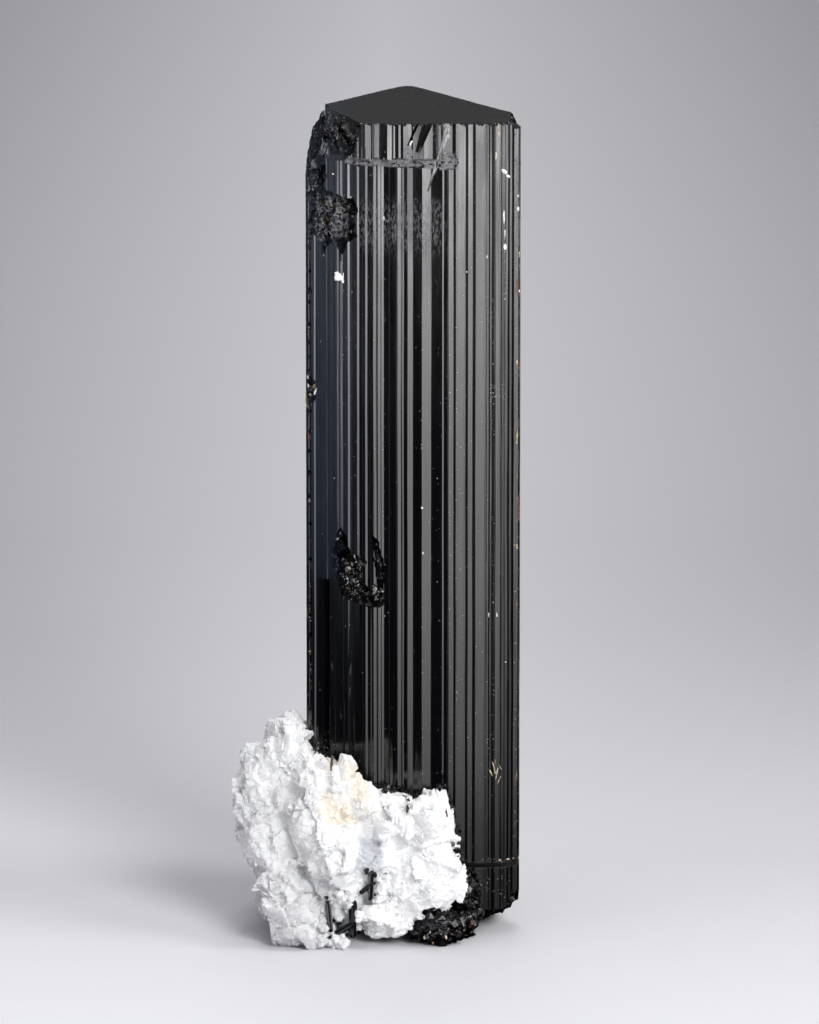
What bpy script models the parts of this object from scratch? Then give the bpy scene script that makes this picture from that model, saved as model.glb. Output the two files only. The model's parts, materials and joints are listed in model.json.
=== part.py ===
"""Black tourmaline crystal standing on white albite, as solids at real size.

The crystal is a rounded three-sided prism with ribs along its length, a flat end face, broken
corners and a foot of small knobs grown into it. The albite wraps the left and the front of its
base and holds two small black crystals. Metres, +Z up. The camera side is -Y, and the origin is
under the middle of the whole specimen, on the surface that it stands on.
"""

import math
import random

import bmesh
import bpy
from mathutils import Matrix, Vector

MM = 0.001

# Driving dimensions, in millimetres about the crystal's own axis
CRYSTAL_TOP = 108.2  # the flat end face
CRYSTAL_BREAK = 3.4  # where the prism is broken off above its foot
GAP = 0.3  # kept free between two neighbouring pieces
TRIM_BLOCK = ((-40, -40, -12), (40, 40, 0))  # cuts everything flat at the standing surface
OUTLINE_CENTRE = (0.0, -1.5)  # a point well inside the cross-section, which the clearance grows from

# The ribbed front face from left to right: (width, way it faces in degrees, + to the right)
FRONT_START = (-12.87, -9.0)
FRONT_BANDS = (
    (0.30, 0), (1.35, -27), (0.20, 0), (1.05, -27), (0.25, -8), (0.60, -30), (0.20, 0),
    (0.75, -26), (0.20, 2), (0.95, -26), (0.20, 0), (0.80, -24), (0.28, 0), (0.80, -20),
    (0.38, 0), (0.95, -5), (0.90, -28), (0.85, 22), (0.42, 0), (0.50, 24), (0.10, 0),
    (0.35, -26), (0.68, 0), (1.13, -32), (1.23, 0), (1.46, 32), (0.13, 0), (0.57, 34),
    (0.73, 0), (0.11, 50), (0.10, -50), (1.39, 1), (0.09, 50), (0.08, -50), (0.83, 0),
    (0.10, 50), (0.10, -50), (1.29, 0), (0.38, 40), (0.16, 0), (0.13, -40), (0.16, 0),
    (0.12, 40), (0.16, 0), (0.10, -45), (1.44, 2), (0.52, 42), (0.73, 16), (0.60, 55),
)  # fmt: skip

# The two back faces: corners from the right end of the front, round the rear edge, to its left end
BACK_CORNERS = (
    (14.05, -7.6), (13.3, -4.4), (10.9, -1.4), (1.0, 13.6), (-0.6, 15.2), (-2.2, 14.0),
    (-9.6, 4.2), (-13.1, -0.2), (-14.05, -3.6), (-13.9, -7.8),
)  # fmt: skip
CORNER_CUT = 0.25  # how far along each side the corners are cut off
BACK_RIB = (0.35, 1.3)  # least and most width of a flat rib on the back faces
BACK_GROOVE = (0.25, 0.8)
BACK_GROOVE_DEPTH = (0.12, 0.32)
BACK_SEED = 11

# Stones that the chipped and broken places are cut with: (centre, half sizes, corners)
TOP_BREAKS = (
    ((-17.4, -6.8, 108.4), (6.9, 9.4, 10.2), 40),
    ((-17.4, 0.6, 109.4), (7.0, 7.0, 7.4), 32),
    ((-14.4, -12.8, 104.6), (5.2, 4.9, 8.6), 34),
    ((-9.6, -13.4, 107.6), (4.6, 2.9, 3.8), 22),
    ((-16.4, -8.6, 97.0), (2.7, 5.0, 7.6), 26),
    ((-10.0, -11.7, 95.8), (3.4, 2.1, 3.7), 28),
    ((-12.4, -11.2, 91.0), (1.8, 1.9, 3.2), 18),
    ((-15.4, -8.8, 86.0), (1.6, 2.4, 5.4), 14),
    ((16.6, -6.4, 109.8), (4.2, 7.6, 7.2), 28),
    ((0.9, -13.6, 106.8), (1.1, 1.6, 2.9), 12),
    ((4.2, -12.8, 104.6), (0.9, 1.3, 3.4), 12),
)
SIDE_BREAKS = (
    ((-14.9, -8.4, 73.4), (1.5, 1.9, 2.6), 16),
    ((-14.7, -8.9, 80.4), (1.0, 1.2, 2.8), 12),
    ((-7.9, -12.4, 50.4), (2.5, 2.1, 4.0), 24),
    ((-5.0, -12.7, 46.4), (1.9, 1.2, 1.8), 14),
    ((-14.5, -8.8, 60.6), (0.9, 1.2, 2.0), 12),
    ((-14.4, -8.8, 54.0), (0.8, 1.0, 1.5), 12),
    ((-14.4, -8.8, 46.8), (0.9, 1.1, 1.8), 12),
    ((-14.4, -8.4, 35.8), (0.9, 1.2, 1.6), 12),
    ((14.7, -8.9, 96.6), (1.0, 1.3, 2.0), 14),
    ((14.7, -8.9, 87.0), (1.2, 1.4, 2.6), 14),
    ((14.7, -8.9, 78.4), (0.9, 1.2, 1.4), 12),
    ((14.6, -8.9, 72.2), (1.0, 1.3, 2.8), 12),
    ((14.6, -8.9, 63.4), (0.9, 1.2, 1.2), 12),
    ((14.5, -8.9, 56.2), (1.0, 1.3, 1.6), 12),
    ((14.5, -8.9, 49.0), (0.8, 1.2, 1.2), 12),
    ((14.5, -8.8, 41.0), (0.9, 1.2, 3.0), 12),
    ((14.6, -8.8, 31.0), (0.9, 1.2, 1.4), 12),
    ((14.6, -8.8, 23.4), (1.0, 1.3, 2.0), 12),
    ((-0.6, 16.2, 82.0), (2.2, 1.5, 3.2), 14),
    ((-0.6, 16.2, 34.0), (2.6, 1.5, 5.0), 16),
    ((-9.9, 5.4, 60.0), (1.8, 1.8, 3.4), 16),
    ((7.6, 6.3, 20.4), (2.2, 2.0, 4.4), 16),
)
LOWER_BREAKS = (
    ((15.2, -11.2, 1.6), (3.0, 4.0, 3.2), 18),
    ((15.0, -2.0, 2.0), (3.4, 4.6, 3.4), 18),
    ((9.6, 6.2, 1.8), (4.8, 5.0, 3.6), 20),
    ((2.0, 15.0, 2.2), (6.4, 4.6, 4.6), 22),
    ((-9.0, 8.8, 1.6), (5.6, 5.2, 3.8), 20),
)

# Straight cuts: (lowest corner, highest corner)
PALE_BAND_END = ((-12.8, -13.0, 23.5), (-10.9, -9.2, 47.4))  # a missing strip under a ledge
GROWTH_SEAM = ((-8.8, -13.6, 103.2), (5.9, -12.1, 103.8))
LOWER_CRACK = ((6.6, -13.0, 9.3), (15.0, 2.0, 9.7))
LOWER_CRACK_FLOOR = (13.3, -10.9)  # where the crack ends inside, from the side and from the front

# The lumps fused under the prism, and the knobs that grew on them: (centre, half sizes, corners)
FOOT_LUMPS = (
    ((2.2, -4.6, 3.6), (6.6, 8.4, 4.7), 30),
    ((3.6, 4.0, 3.6), (5.0, 6.0, 4.1), 20),
    ((-4.0, 3.6, 3.6), (5.0, 5.4, 4.0), 20),
    ((2.8, -15.2, 2.0), (4.2, 4.0, 2.9), 20),
    ((6.4, -12.2, 5.0), (2.9, 2.6, 5.0), 20),
    ((10.4, -9.6, 4.6), (2.6, 2.2, 1.7), 16),
    ((9.0, -3.6, 2.8), (3.4, 5.2, 3.0), 18),
    ((4.4, 6.6, 2.6), (3.6, 4.4, 3.0), 18),
    ((-1.2, 10.6, 2.2), (3.4, 3.2, 2.9), 16),
)
KNOBBY_LUMPS = (3, 4, 5, 8)  # which of them the small knobs cover, counted from 0
KNOBS_PER_LUMP = 13
KNOB_SIZES = (0.75, 1.3)
KNOB_CORNERS = 10
KNOB_SEED = 5

# The albite's lobes, from the tall left one round to the lump behind: (centre, half sizes, corners)
ALBITE_LOBES = (
    ((-16.4, -7.4, 23.2), (4.2, 6.0, 6.0), 20),
    ((-18.8, -8.0, 20.8), (4.2, 5.4, 5.6), 20),
    ((-20.0, -8.8, 17.0), (4.4, 5.8, 6.0), 22),
    ((-18.6, -9.8, 12.0), (4.6, 6.6, 6.4), 22),
    ((-20.6, -7.4, 10.2), (2.2, 3.4, 2.8), 14),
    ((-16.6, -14.2, 4.8), (4.8, 6.2, 6.0), 20),
    ((-14.2, -17.0, 2.6), (4.0, 4.0, 3.8), 16),
    ((-13.4, -11.0, 14.0), (4.6, 4.6, 10.0), 20),
    ((-13.4, -12.6, 21.8), (2.8, 3.4, 4.4), 14),
    ((-12.6, -14.6, 16.8), (4.2, 3.6, 4.8), 18),
    ((-9.0, -13.8, 20.6), (3.0, 3.0, 4.8), 14),
    ((-6.7, -14.4, 17.8), (3.2, 3.0, 3.9), 14),
    ((-9.8, -15.6, 11.2), (4.4, 4.8, 5.6), 20),
    ((-9.6, -15.6, 6.6), (4.2, 3.4, 4.2), 16),
    ((-4.4, -14.8, 11.4), (3.8, 3.4, 5.0), 16),
    ((-2.4, -14.9, 16.6), (3.6, 3.0, 4.6), 16),
    ((2.0, -15.2, 15.4), (3.9, 3.8, 6.0), 20),
    ((2.4, -16.1, 9.0), (4.8, 4.8, 5.6), 20),
    ((-1.2, -16.4, 7.0), (4.0, 3.8, 4.8), 16),
    ((-3.4, -16.4, 3.6), (4.4, 3.4, 3.4), 16),
    ((-9.4, -12.8, 4.2), (4.6, 3.0, 3.6), 14),
    ((-16.4, 0.4, 10.6), (5.4, 6.6, 8.8), 22),
    ((-12.4, 5.0, 5.8), (5.2, 5.0, 5.4), 18),
    ((-9.6, -5.0, 2.8), (6.6, 9.6, 3.4), 20),
)
ALBITE_GRAIN = 0.55  # the size of the cubes that melt the lobes into one stone
ALBITE_BLOCKS = (2.9, 1.5)  # width and height of the blocky relief that the stone is broken into
ALBITE_ROUGHNESS = (1.3, 0.7)
ALBITE_LEVEL = 0.3  # the grey of the patterns that stays in place
ALBITE_FACES_KEPT = 0.13

# The small black crystals in the albite: (centre, radius, length, tilt to +X, tilt to +Y)
SMALL_LEFT_PRISMS = (
    ((-7.9, -18.7, 3.7), 0.66, 5.6, 2, 3),
    ((-10.9, -19.1, 4.0), 0.58, 4.6, -5, 5),
    ((-9.7, -19.0, 2.1), 0.60, 4.8, 58, 0),
)
SMALL_CENTRE_PRISMS = (
    ((-5.5, -18.3, 8.3), 0.42, 4.6, 3, 2),
    ((-6.1, -18.4, 8.0), 0.34, 2.4, 48, 0),
)
SMALL_SIDES = 7


def remove_everything():
    for obj in list(bpy.data.objects):
        bpy.data.objects.remove(obj)


def new_collection(name, is_cutter=False):
    made = bpy.data.collections.new(name)
    bpy.context.scene.collection.children.link(made)
    made.hide_render = is_cutter
    return made


def mineral(name, colour, roughness):
    made = bpy.data.materials.new(name)
    made.use_nodes = True
    shader = made.node_tree.nodes["Principled BSDF"]
    shader.inputs["Base Color"].default_value = (*colour, 1.0)
    shader.inputs["Roughness"].default_value = roughness
    shader.inputs["Metallic"].default_value = 0.0
    return made


def mesh_object(name, mesh, where):
    obj = bpy.data.objects.new(name, mesh)
    where.objects.link(obj)
    if where.hide_render:
        obj.hide_render = True
        obj.display_type = "WIRE"
    return obj


def even_points(count, scatter):
    """Points spread evenly over a ball of radius 1, from its top down, each a little astray."""
    for i in range(count):
        height = 1 - 2 * (i + 0.5) / count
        turn = i * math.pi * (3 - math.sqrt(5)) + scatter.uniform(-0.35, 0.35)
        ring = math.sqrt(1 - height * height)
        yield Vector((ring * math.cos(turn), ring * math.sin(turn), height))


def chunk(name, lump, where, grow=0.0):
    """A convex stone with flat faces: the hull of points spread evenly over an ellipsoid."""
    centre, half_sizes, corners = lump
    scatter = random.Random(name)
    bm = bmesh.new()
    for on_ball in even_points(corners, scatter):
        reach = scatter.uniform(0.86, 1.06)
        sides = Vector([reach * half + grow for half in half_sizes])
        bm.verts.new((Vector(centre) + on_ball * sides) * MM)
    hull = bmesh.ops.convex_hull(bm, input=bm.verts[:])
    inside = [v for v in hull["geom_interior"] if isinstance(v, bmesh.types.BMVert)]
    bmesh.ops.delete(bm, geom=inside, context="VERTS")
    bmesh.ops.recalc_face_normals(bm, faces=bm.faces[:])
    mesh = bpy.data.meshes.new(name)
    bm.to_mesh(mesh)
    bm.free()
    return mesh_object(name, mesh, where)


def chunks(prefix, lumps, where, grow=0.0):
    """One stone for each lump. A grown copy has the same corners, further out."""
    return [chunk(f"{prefix}_{i}", lump, where, grow) for i, lump in enumerate(lumps, 1)]


def foot_lumps():
    """The lumps under the prism with the knobs that stud them, evenly spread but uneven in size."""
    sizes = random.Random(KNOB_SEED)
    knobs = []
    for number in KNOBBY_LUMPS:
        centre, half_sizes, _ = FOOT_LUMPS[number]
        for point in even_points(KNOBS_PER_LUMP, sizes):
            place = [c + p * half for c, p, half in zip(centre, point, half_sizes)]
            half = [sizes.uniform(*KNOB_SIZES) for _ in range(3)]
            knobs.append((place, half, KNOB_CORNERS))
    return (*FOOT_LUMPS, *knobs)


def block(name, corners, where):
    """A rectangular cutter between its lowest and its highest corner."""
    low, high = (Vector(corner) * MM for corner in corners)
    bm = bmesh.new()
    size = Matrix.Diagonal((*(high - low), 1.0))
    bmesh.ops.create_cube(bm, size=1.0, matrix=Matrix.Translation((low + high) / 2) @ size)
    mesh = bpy.data.meshes.new(name)
    bm.to_mesh(mesh)
    bm.free()
    return mesh_object(name, mesh, where)


def front_points():
    """The corners between the bands of the front face, from left to right."""
    x, y = FRONT_START
    points = [Vector((x, y))]
    for width, facing in FRONT_BANDS:
        x += width
        y += width * math.tan(math.radians(facing))
        points.append(Vector((x, y)))
    return points


def rounded(corners):
    """An open line with every corner cut off."""
    cut = [corners[0]]
    for a, b in zip(corners, corners[1:]):
        cut += [a.lerp(b, CORNER_CUT), b.lerp(a, CORNER_CUT)]
    return [*cut, corners[-1]]


def along(line, distance):
    """The point of a line that far from its start, and the way out of the crystal there."""
    for a, b in zip(line, line[1:]):
        length = (b - a).length
        if distance <= length or b is line[-1]:
            way = (b - a).normalized()
            return a + way * distance, Vector((way.y, -way.x))
        distance -= length


def back_points(start, end):
    """The ribbed back faces, from the right end of the front round to its left end."""
    line = rounded([start, *map(Vector, BACK_CORNERS), end])
    length = sum((b - a).length for a, b in zip(line, line[1:]))
    ribs = random.Random(BACK_SEED)
    points = []
    at = ribs.uniform(*BACK_RIB)
    while True:
        groove = ribs.uniform(*BACK_GROOVE)
        depth = ribs.uniform(*BACK_GROOVE_DEPTH)
        deepest = ribs.uniform(0.2, 0.8)
        if at + groove + BACK_RIB[0] > length:
            return points
        for share, offset in ((0, 0), (deepest, depth), (1, 0)):
            point, outward = along(line, at + share * groove)
            points.append(point - outward * offset)
        at += groove + ribs.uniform(*BACK_RIB)


def prism_outline(grow=0.0):
    """The crystal's whole cross-section, anticlockwise from above."""
    front = front_points()
    outline = front + back_points(front[-1], front[0])
    middle = Vector(OUTLINE_CENTRE)
    return [point + (point - middle).normalized() * grow for point in outline]


def extruded(name, outline, bottom, top, where):
    """A mesh with this outline between two heights."""
    curve = bpy.data.curves.new(name, "CURVE")
    curve.dimensions = "2D"
    curve.fill_mode = "BOTH"
    curve.extrude = (top - bottom) / 2 * MM
    spline = curve.splines.new("POLY")
    spline.points.add(len(outline) - 1)
    for spline_point, (x, y) in zip(spline.points, outline):
        spline_point.co = (x * MM, y * MM, 0.0, 1.0)
    spline.use_cyclic_u = True
    line = bpy.data.objects.new(name + "_outline", curve)
    line.location.z = (top + bottom) / 2 * MM
    where.objects.link(line)
    return made_mesh(name, line, where)


def made_mesh(name, source, where):
    """The source as the viewport shows it, as a plain closed mesh at the origin. The source goes."""
    bpy.context.view_layer.update()
    graph = bpy.context.evaluated_depsgraph_get()
    mesh = bpy.data.meshes.new_from_object(source.evaluated_get(graph))
    mesh.transform(source.matrix_world)
    bm = bmesh.new()
    bm.from_mesh(mesh)
    bmesh.ops.remove_doubles(bm, verts=bm.verts[:], dist=1e-6)
    bm.to_mesh(mesh)
    bm.free()
    bpy.data.objects.remove(source)
    mesh.name = name
    return mesh_object(name, mesh, where)


def small_prism(name, prism, where, grow=0.0):
    """A short striated crystal with a low point at each end."""
    centre, radius, length, lean_x, lean_y = prism
    turn = Matrix.Rotation(math.radians(lean_x), 4, "Y") @ Matrix.Rotation(math.radians(-lean_y), 4, "X")
    place = Matrix.Translation(Vector(centre) * MM) @ turn
    bm = bmesh.new()
    for share, width in ((-0.5, 0.55), (-0.42, 1.0), (0.42, 1.0), (0.5, 0.55)):
        for side in range(SMALL_SIDES):
            angle = 2 * math.pi * side / SMALL_SIDES
            reach = radius * width + grow
            level = share * (length + 2 * grow)
            bm.verts.new(place @ (Vector((reach * math.cos(angle), reach * math.sin(angle), level)) * MM))
    bmesh.ops.convex_hull(bm, input=bm.verts[:])
    bmesh.ops.recalc_face_normals(bm, faces=bm.faces[:])
    mesh = bpy.data.meshes.new(name)
    bm.to_mesh(mesh)
    bm.free()
    return mesh_object(name, mesh, where)


def combine(obj, operation, others):
    """Adds one Boolean with every object of a collection."""
    modifier = obj.modifiers.new(others.name, "BOOLEAN")
    modifier.operation = operation
    modifier.operand_type = "COLLECTION"
    modifier.collection = others


def largest_body(obj):
    """Drops the crumbs that a cut has left loose beside the piece."""
    bm = bmesh.new()
    bm.from_mesh(obj.data)
    unseen = set(bm.verts)
    bodies = []
    while unseen:
        body = set()
        edge = {next(iter(unseen))}
        while edge:
            body |= edge
            edge = {e.other_vert(v) for v in edge for e in v.link_edges} - body
        bodies.append(body)
        unseen -= body
    crumbs = set(bm.verts) - max(bodies, key=len)
    bmesh.ops.delete(bm, geom=list(crumbs), context="VERTS")
    bm.to_mesh(obj.data)
    bm.free()


def finish(obj, stone, specimen, cutters):
    """Turns a cut piece into one plain solid of the specimen and gives it its mineral."""
    for steps in cutters:
        combine(obj, *steps)
    name = obj.name
    obj.name = name + "_blank"
    piece = made_mesh(name, obj, specimen)
    largest_body(piece)
    piece.data.shade_flat()
    piece.data.materials.clear()
    piece.data.materials.append(stone)
    return piece


def crystal_piece(stone, specimen, table):
    """The big prism, with its breaks cut out and its foot of knobs joined on."""
    breaks = new_collection("crystal_breaks", is_cutter=True)
    chunks("top_break", TOP_BREAKS, breaks)
    chunks("side_break", SIDE_BREAKS, breaks)
    chunks("lower_break", LOWER_BREAKS, breaks)
    block("pale_band_end", PALE_BAND_END, breaks)
    block("growth_seam", GROWTH_SEAM, breaks)
    (left, front, bottom), (right, back, top) = LOWER_CRACK
    side, face = LOWER_CRACK_FLOOR
    block("lower_crack_front", ((left, front, bottom), (right, face, top)), breaks)
    block("lower_crack_side", ((side, face - GAP, bottom), (right, back, top)), breaks)
    knobs = new_collection("foot_knobs", is_cutter=True)
    chunks("knob", foot_lumps(), knobs)
    prism = extruded("tourmaline_crystal", prism_outline(), CRYSTAL_BREAK, CRYSTAL_TOP, specimen)
    steps = (("DIFFERENCE", breaks), ("UNION", knobs), ("DIFFERENCE", table))
    return finish(prism, stone, specimen, steps)


def small_crystal(name, prisms, stone, specimen, table):
    """A few black needles that grew into each other inside the albite."""
    needles = new_collection(name + "_needles", is_cutter=True)
    for i, prism in enumerate(prisms[1:], 2):
        small_prism(f"{name}_needle_{i}", prism, needles)
    first = small_prism(name, prisms[0], specimen)
    return finish(first, stone, specimen, (("UNION", needles), ("DIFFERENCE", table)))


def roughen(obj, kind, relief):
    """Pushes the surface in and out by a pattern of this width and height."""
    width, height = relief
    texture = bpy.data.textures.new(f"{obj.name}_{kind.lower()}", kind)
    texture.noise_scale = width * MM
    if kind == "VORONOI":
        texture.weight_1 = -1.0
        texture.weight_2 = 1.0
    modifier = obj.modifiers.new(texture.name, "DISPLACE")
    modifier.texture = texture
    modifier.strength = height * MM
    modifier.mid_level = ALBITE_LEVEL


def melt(obj):
    """Makes one closed skin round everything in the mesh, with no folds through each other."""
    modifier = obj.modifiers.new("melt", "REMESH")
    modifier.mode = "VOXEL"
    modifier.voxel_size = ALBITE_GRAIN * MM


def albite_piece(stone, specimen, table):
    """The white lobes melted into one craggy stone, cut back from every black crystal by the gap."""
    room = new_collection("albite_clearance", is_cutter=True)
    extruded("prism_room", prism_outline(GAP), CRYSTAL_BREAK - GAP, CRYSTAL_TOP, room)
    chunks("knob", foot_lumps(), room, grow=GAP)
    for group, prisms in (("left", SMALL_LEFT_PRISMS), ("centre", SMALL_CENTRE_PRISMS)):
        for i, prism in enumerate(prisms, 1):
            small_prism(f"{group}_room_{i}", prism, room, grow=GAP)
    bm = bmesh.new()
    for i, lump in enumerate(ALBITE_LOBES, 1):
        lobe = chunk(f"lobe_{i}", lump, specimen)
        bm.from_mesh(lobe.data)
        bpy.data.objects.remove(lobe)
    mesh = bpy.data.meshes.new("albite_matrix")
    bm.to_mesh(mesh)
    bm.free()
    stone_blank = mesh_object("albite_matrix", mesh, specimen)
    melt(stone_blank)
    roughen(stone_blank, "VORONOI", ALBITE_BLOCKS)
    roughen(stone_blank, "CLOUDS", ALBITE_ROUGHNESS)
    melt(stone_blank)
    facets = stone_blank.modifiers.new("facets", "DECIMATE")
    facets.ratio = ALBITE_FACES_KEPT
    return finish(stone_blank, stone, specimen, (("DIFFERENCE", room), ("DIFFERENCE", table)))


def stand_on_origin(pieces):
    """Hangs the pieces on one empty, which puts the middle of their base at the origin."""
    corners = [piece.matrix_world @ Vector(c) for piece in pieces for c in piece.bound_box]
    base = bpy.data.objects.new("specimen", None)
    bpy.context.scene.collection.objects.link(base)
    for axis in (0, 1):
        values = [corner[axis] for corner in corners]
        base.location[axis] = -(min(values) + max(values)) / 2
    for piece in pieces:
        piece.parent = base


def main():
    remove_everything()
    specimen = new_collection("tourmaline_specimen")
    trims = new_collection("table_trim", is_cutter=True)
    block("table", TRIM_BLOCK, trims)
    black = mineral("black_tourmaline", (0.010, 0.011, 0.014), 0.18)
    white = mineral("white_albite", (0.86, 0.85, 0.83), 0.62)
    pieces = [
        crystal_piece(black, specimen, trims),
        small_crystal("small_tourmaline_left", SMALL_LEFT_PRISMS, black, specimen, trims),
        small_crystal("small_tourmaline_centre", SMALL_CENTRE_PRISMS, black, specimen, trims),
        albite_piece(white, specimen, trims),
    ]
    bpy.context.view_layer.update()
    stand_on_origin(pieces)


main()
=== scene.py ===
"""Black tourmaline crystal on white albite, finished and standing in a small studio.

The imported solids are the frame, and every piece here stands where they stand. Sizes are in
millimetres about the crystal's own axis, and spot() turns them into the frame's metres. A few
small features are placed by the pixel that shows them, along the camera's own ray, so they sit on
the surface that carries them.
"""

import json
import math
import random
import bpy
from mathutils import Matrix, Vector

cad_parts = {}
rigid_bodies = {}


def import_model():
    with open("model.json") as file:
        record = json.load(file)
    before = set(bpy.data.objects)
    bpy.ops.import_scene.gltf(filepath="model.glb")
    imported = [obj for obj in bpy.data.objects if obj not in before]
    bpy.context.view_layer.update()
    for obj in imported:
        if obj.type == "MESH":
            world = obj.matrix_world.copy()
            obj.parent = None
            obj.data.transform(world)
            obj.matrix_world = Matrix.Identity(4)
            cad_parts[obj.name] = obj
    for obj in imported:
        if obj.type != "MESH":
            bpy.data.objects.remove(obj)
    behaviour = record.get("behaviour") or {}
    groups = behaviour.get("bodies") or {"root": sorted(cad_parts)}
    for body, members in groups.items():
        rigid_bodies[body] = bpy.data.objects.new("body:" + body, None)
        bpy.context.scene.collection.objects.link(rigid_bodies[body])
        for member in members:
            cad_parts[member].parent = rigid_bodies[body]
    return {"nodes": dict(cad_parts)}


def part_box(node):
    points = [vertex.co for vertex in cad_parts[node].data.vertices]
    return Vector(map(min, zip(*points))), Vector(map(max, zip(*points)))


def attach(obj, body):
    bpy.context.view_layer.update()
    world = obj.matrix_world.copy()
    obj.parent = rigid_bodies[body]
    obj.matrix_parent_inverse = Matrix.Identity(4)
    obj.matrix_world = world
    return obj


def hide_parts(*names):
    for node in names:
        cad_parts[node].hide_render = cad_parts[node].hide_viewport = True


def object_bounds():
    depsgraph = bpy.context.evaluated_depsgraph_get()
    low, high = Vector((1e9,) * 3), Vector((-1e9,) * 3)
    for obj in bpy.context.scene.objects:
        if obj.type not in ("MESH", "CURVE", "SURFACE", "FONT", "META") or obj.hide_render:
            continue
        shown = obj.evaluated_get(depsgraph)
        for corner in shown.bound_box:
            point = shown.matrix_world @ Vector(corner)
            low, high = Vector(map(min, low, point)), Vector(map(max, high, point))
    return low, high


bl_info = {
    "name": "Tourmaline on Albite",
    "version": (1, 0, 0),
    "blender": (4, 5, 0),
    "location": "View3D > Sidebar > Specimen",
    "description": "Builds a ribbed black tourmaline crystal on sugary white albite, and its studio",
    "category": "Add Mesh",
}

import bmesh
import bpy
import numpy as np
from mathutils import Matrix, Vector, noise
from mathutils.bvhtree import BVHTree

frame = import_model()
CAD_LOW, CAD_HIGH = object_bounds()

MM = 0.001
TOURMALINE_IOR = 1.64
ALBITE_IOR = 1.53
FLAKE_IOR = 1.6
MIDDLE_GREY = (0.5, 0.5, 0.5)  # the middle of a colour noise, taken off to get a way to move

# The crystal's own axis, from the far right corner of its solid
CRYSTAL_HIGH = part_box("tourmaline_crystal")[1]
CORNER_FROM_AXIS = (14.0426, 14.8524)
AXIS = Vector([CRYSTAL_HIGH[i] - CORNER_FROM_AXIS[i] * MM for i in (0, 1)] + [0.0])

# The photograph's view
PICTURE = (819, 1024)
CAMERA_DISTANCE = 1.3
CAMERA_ELEVATION = 13.0
CAMERA_AIM = AXIS + Vector((-0.46 * MM, 0.0, 54.8 * MM)) - Vector((0.0, AXIS.y, 0.0))
CAMERA_LENS = 349.2
SENSOR = 36.0
CAMERA_CLIP = (0.05, 20.0)

CRYSTAL_BREAK = 3.4  # where the prism is broken off above its foot

# The ribbed front face from left to right: (width, way it faces in degrees, + to the right), and
# for a line that dies out down the crystal, the way that its place faces below
FRONT_START = (-12.87, -9.0)
FRONT_BANDS = (
    (0.20, 0), (1.42, -21), (0.15, -12), (0.12, 40), (0.12, -52), (0.60, -21), (0.07, 30),
    (0.07, -50), (0.26, -20), (0.24, -7, -24), (0.20, -21), (0.30, -6, -25), (0.10, 35), (0.10, -50),
    (0.46, -21), (0.27, 0, -15), (0.27, -22), (0.13, 34), (0.13, -48), (0.40, -23), (0.27, 0, -23),
    (0.36, -30), (0.06, 35), (0.06, -50), (0.32, -30), (0.28, 0), (0.40, -30), (0.14, -27, -9),
    (0.24, -29), (0.37, 0), (0.10, 45), (0.10, -45), (0.36, 1), (0.05, 22), (0.05, -22), (0.30, 1),
    (0.24, -40), (0.40, -30), (0.07, 34), (0.07, -50), (0.38, -30), (0.40, 32), (0.24, -24),
    (0.42, 0), (0.22, 15), (0.15, 0), (0.50, -31), (0.68, 0), (0.40, -28), (0.78, -36), (1.16, 0),
    (0.10, 14), (0.65, 34), (0.45, 27), (0.26, 36), (0.20, 0), (0.44, 36), (0.20, 16), (0.61, 2),
    (0.16, 50), (0.16, -50), (0.42, 3), (0.40, -1), (0.42, 4), (0.17, 46), (0.17, -46), (0.58, 0),
    (0.20, 52), (0.20, -50), (0.52, 2), (0.43, -1), (0.30, 4), (0.26, 12), (0.14, 0), (0.11, 46),
    (0.11, -46), (0.18, 2), (0.18, 44), (0.17, -44), (0.22, 9), (0.40, 3), (0.24, 8), (0.12, 40),
    (0.36, 6), (0.07, 34), (0.34, 4), (0.24, 42), (0.28, 5), (0.30, 42), (0.54, 6),
)  # fmt: skip
BAND_UNEVENNESS = 2.6  # degrees that a band may face beside its even course
BAND_SEED = 4
LINES_DIE_OUT = (58.0, 36.0)  # the heights between which a dying line changes

# How the lines stray: (lengths of the waves in X, Y and Z, share of the wander in X, Y and Z)
BROAD_WAVES = ((1.9, 1.9, 26.0), (1.0, 0.35, 0.0))
FINE_WAVES = ((0.45, 0.45, 7.0), (0.25, 0.12, 0.0))

# The same face above the growth seam, where the lines run otherwise
SEAM_HEIGHT = 103.5
CAP_START = (-12.87, -8.88)
CAP_BANDS = (
    (4.00, -22), (0.50, -22), (0.26, -8), (0.64, -29), (0.26, -8), (0.20, 30), (0.20, -40),
    (0.52, -29), (0.85, 0), (0.10, 45), (0.10, -45), (0.26, -12), (0.58, 0), (0.20, 20),
    (0.86, -33), (0.42, 0), (0.22, -7), (0.18, 25), (0.20, 0), (0.44, 28), (0.26, 0), (0.35, -34),
    (0.50, -3), (0.60, 2), (0.20, 24), (0.26, -3), (1.14, -12), (1.10, 0), (0.47, 36), (0.28, 15),
    (0.28, 0), (0.14, 45), (0.14, -45), (0.62, 2), (0.50, -2), (0.10, 4), (0.30, 38),
)  # fmt: skip
CAP_BACK = ((5.5, -8.6), (-12.6, -6.2))  # its corners inside the crystal
CAP_ROOM = ((-15.0, -15.0, 103.5), (5.35, -9.3, 110.0))
CAP_OVERLAP = 0.4
CAP_ROWS = 6
END_HEIGHT = 108.2

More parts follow.
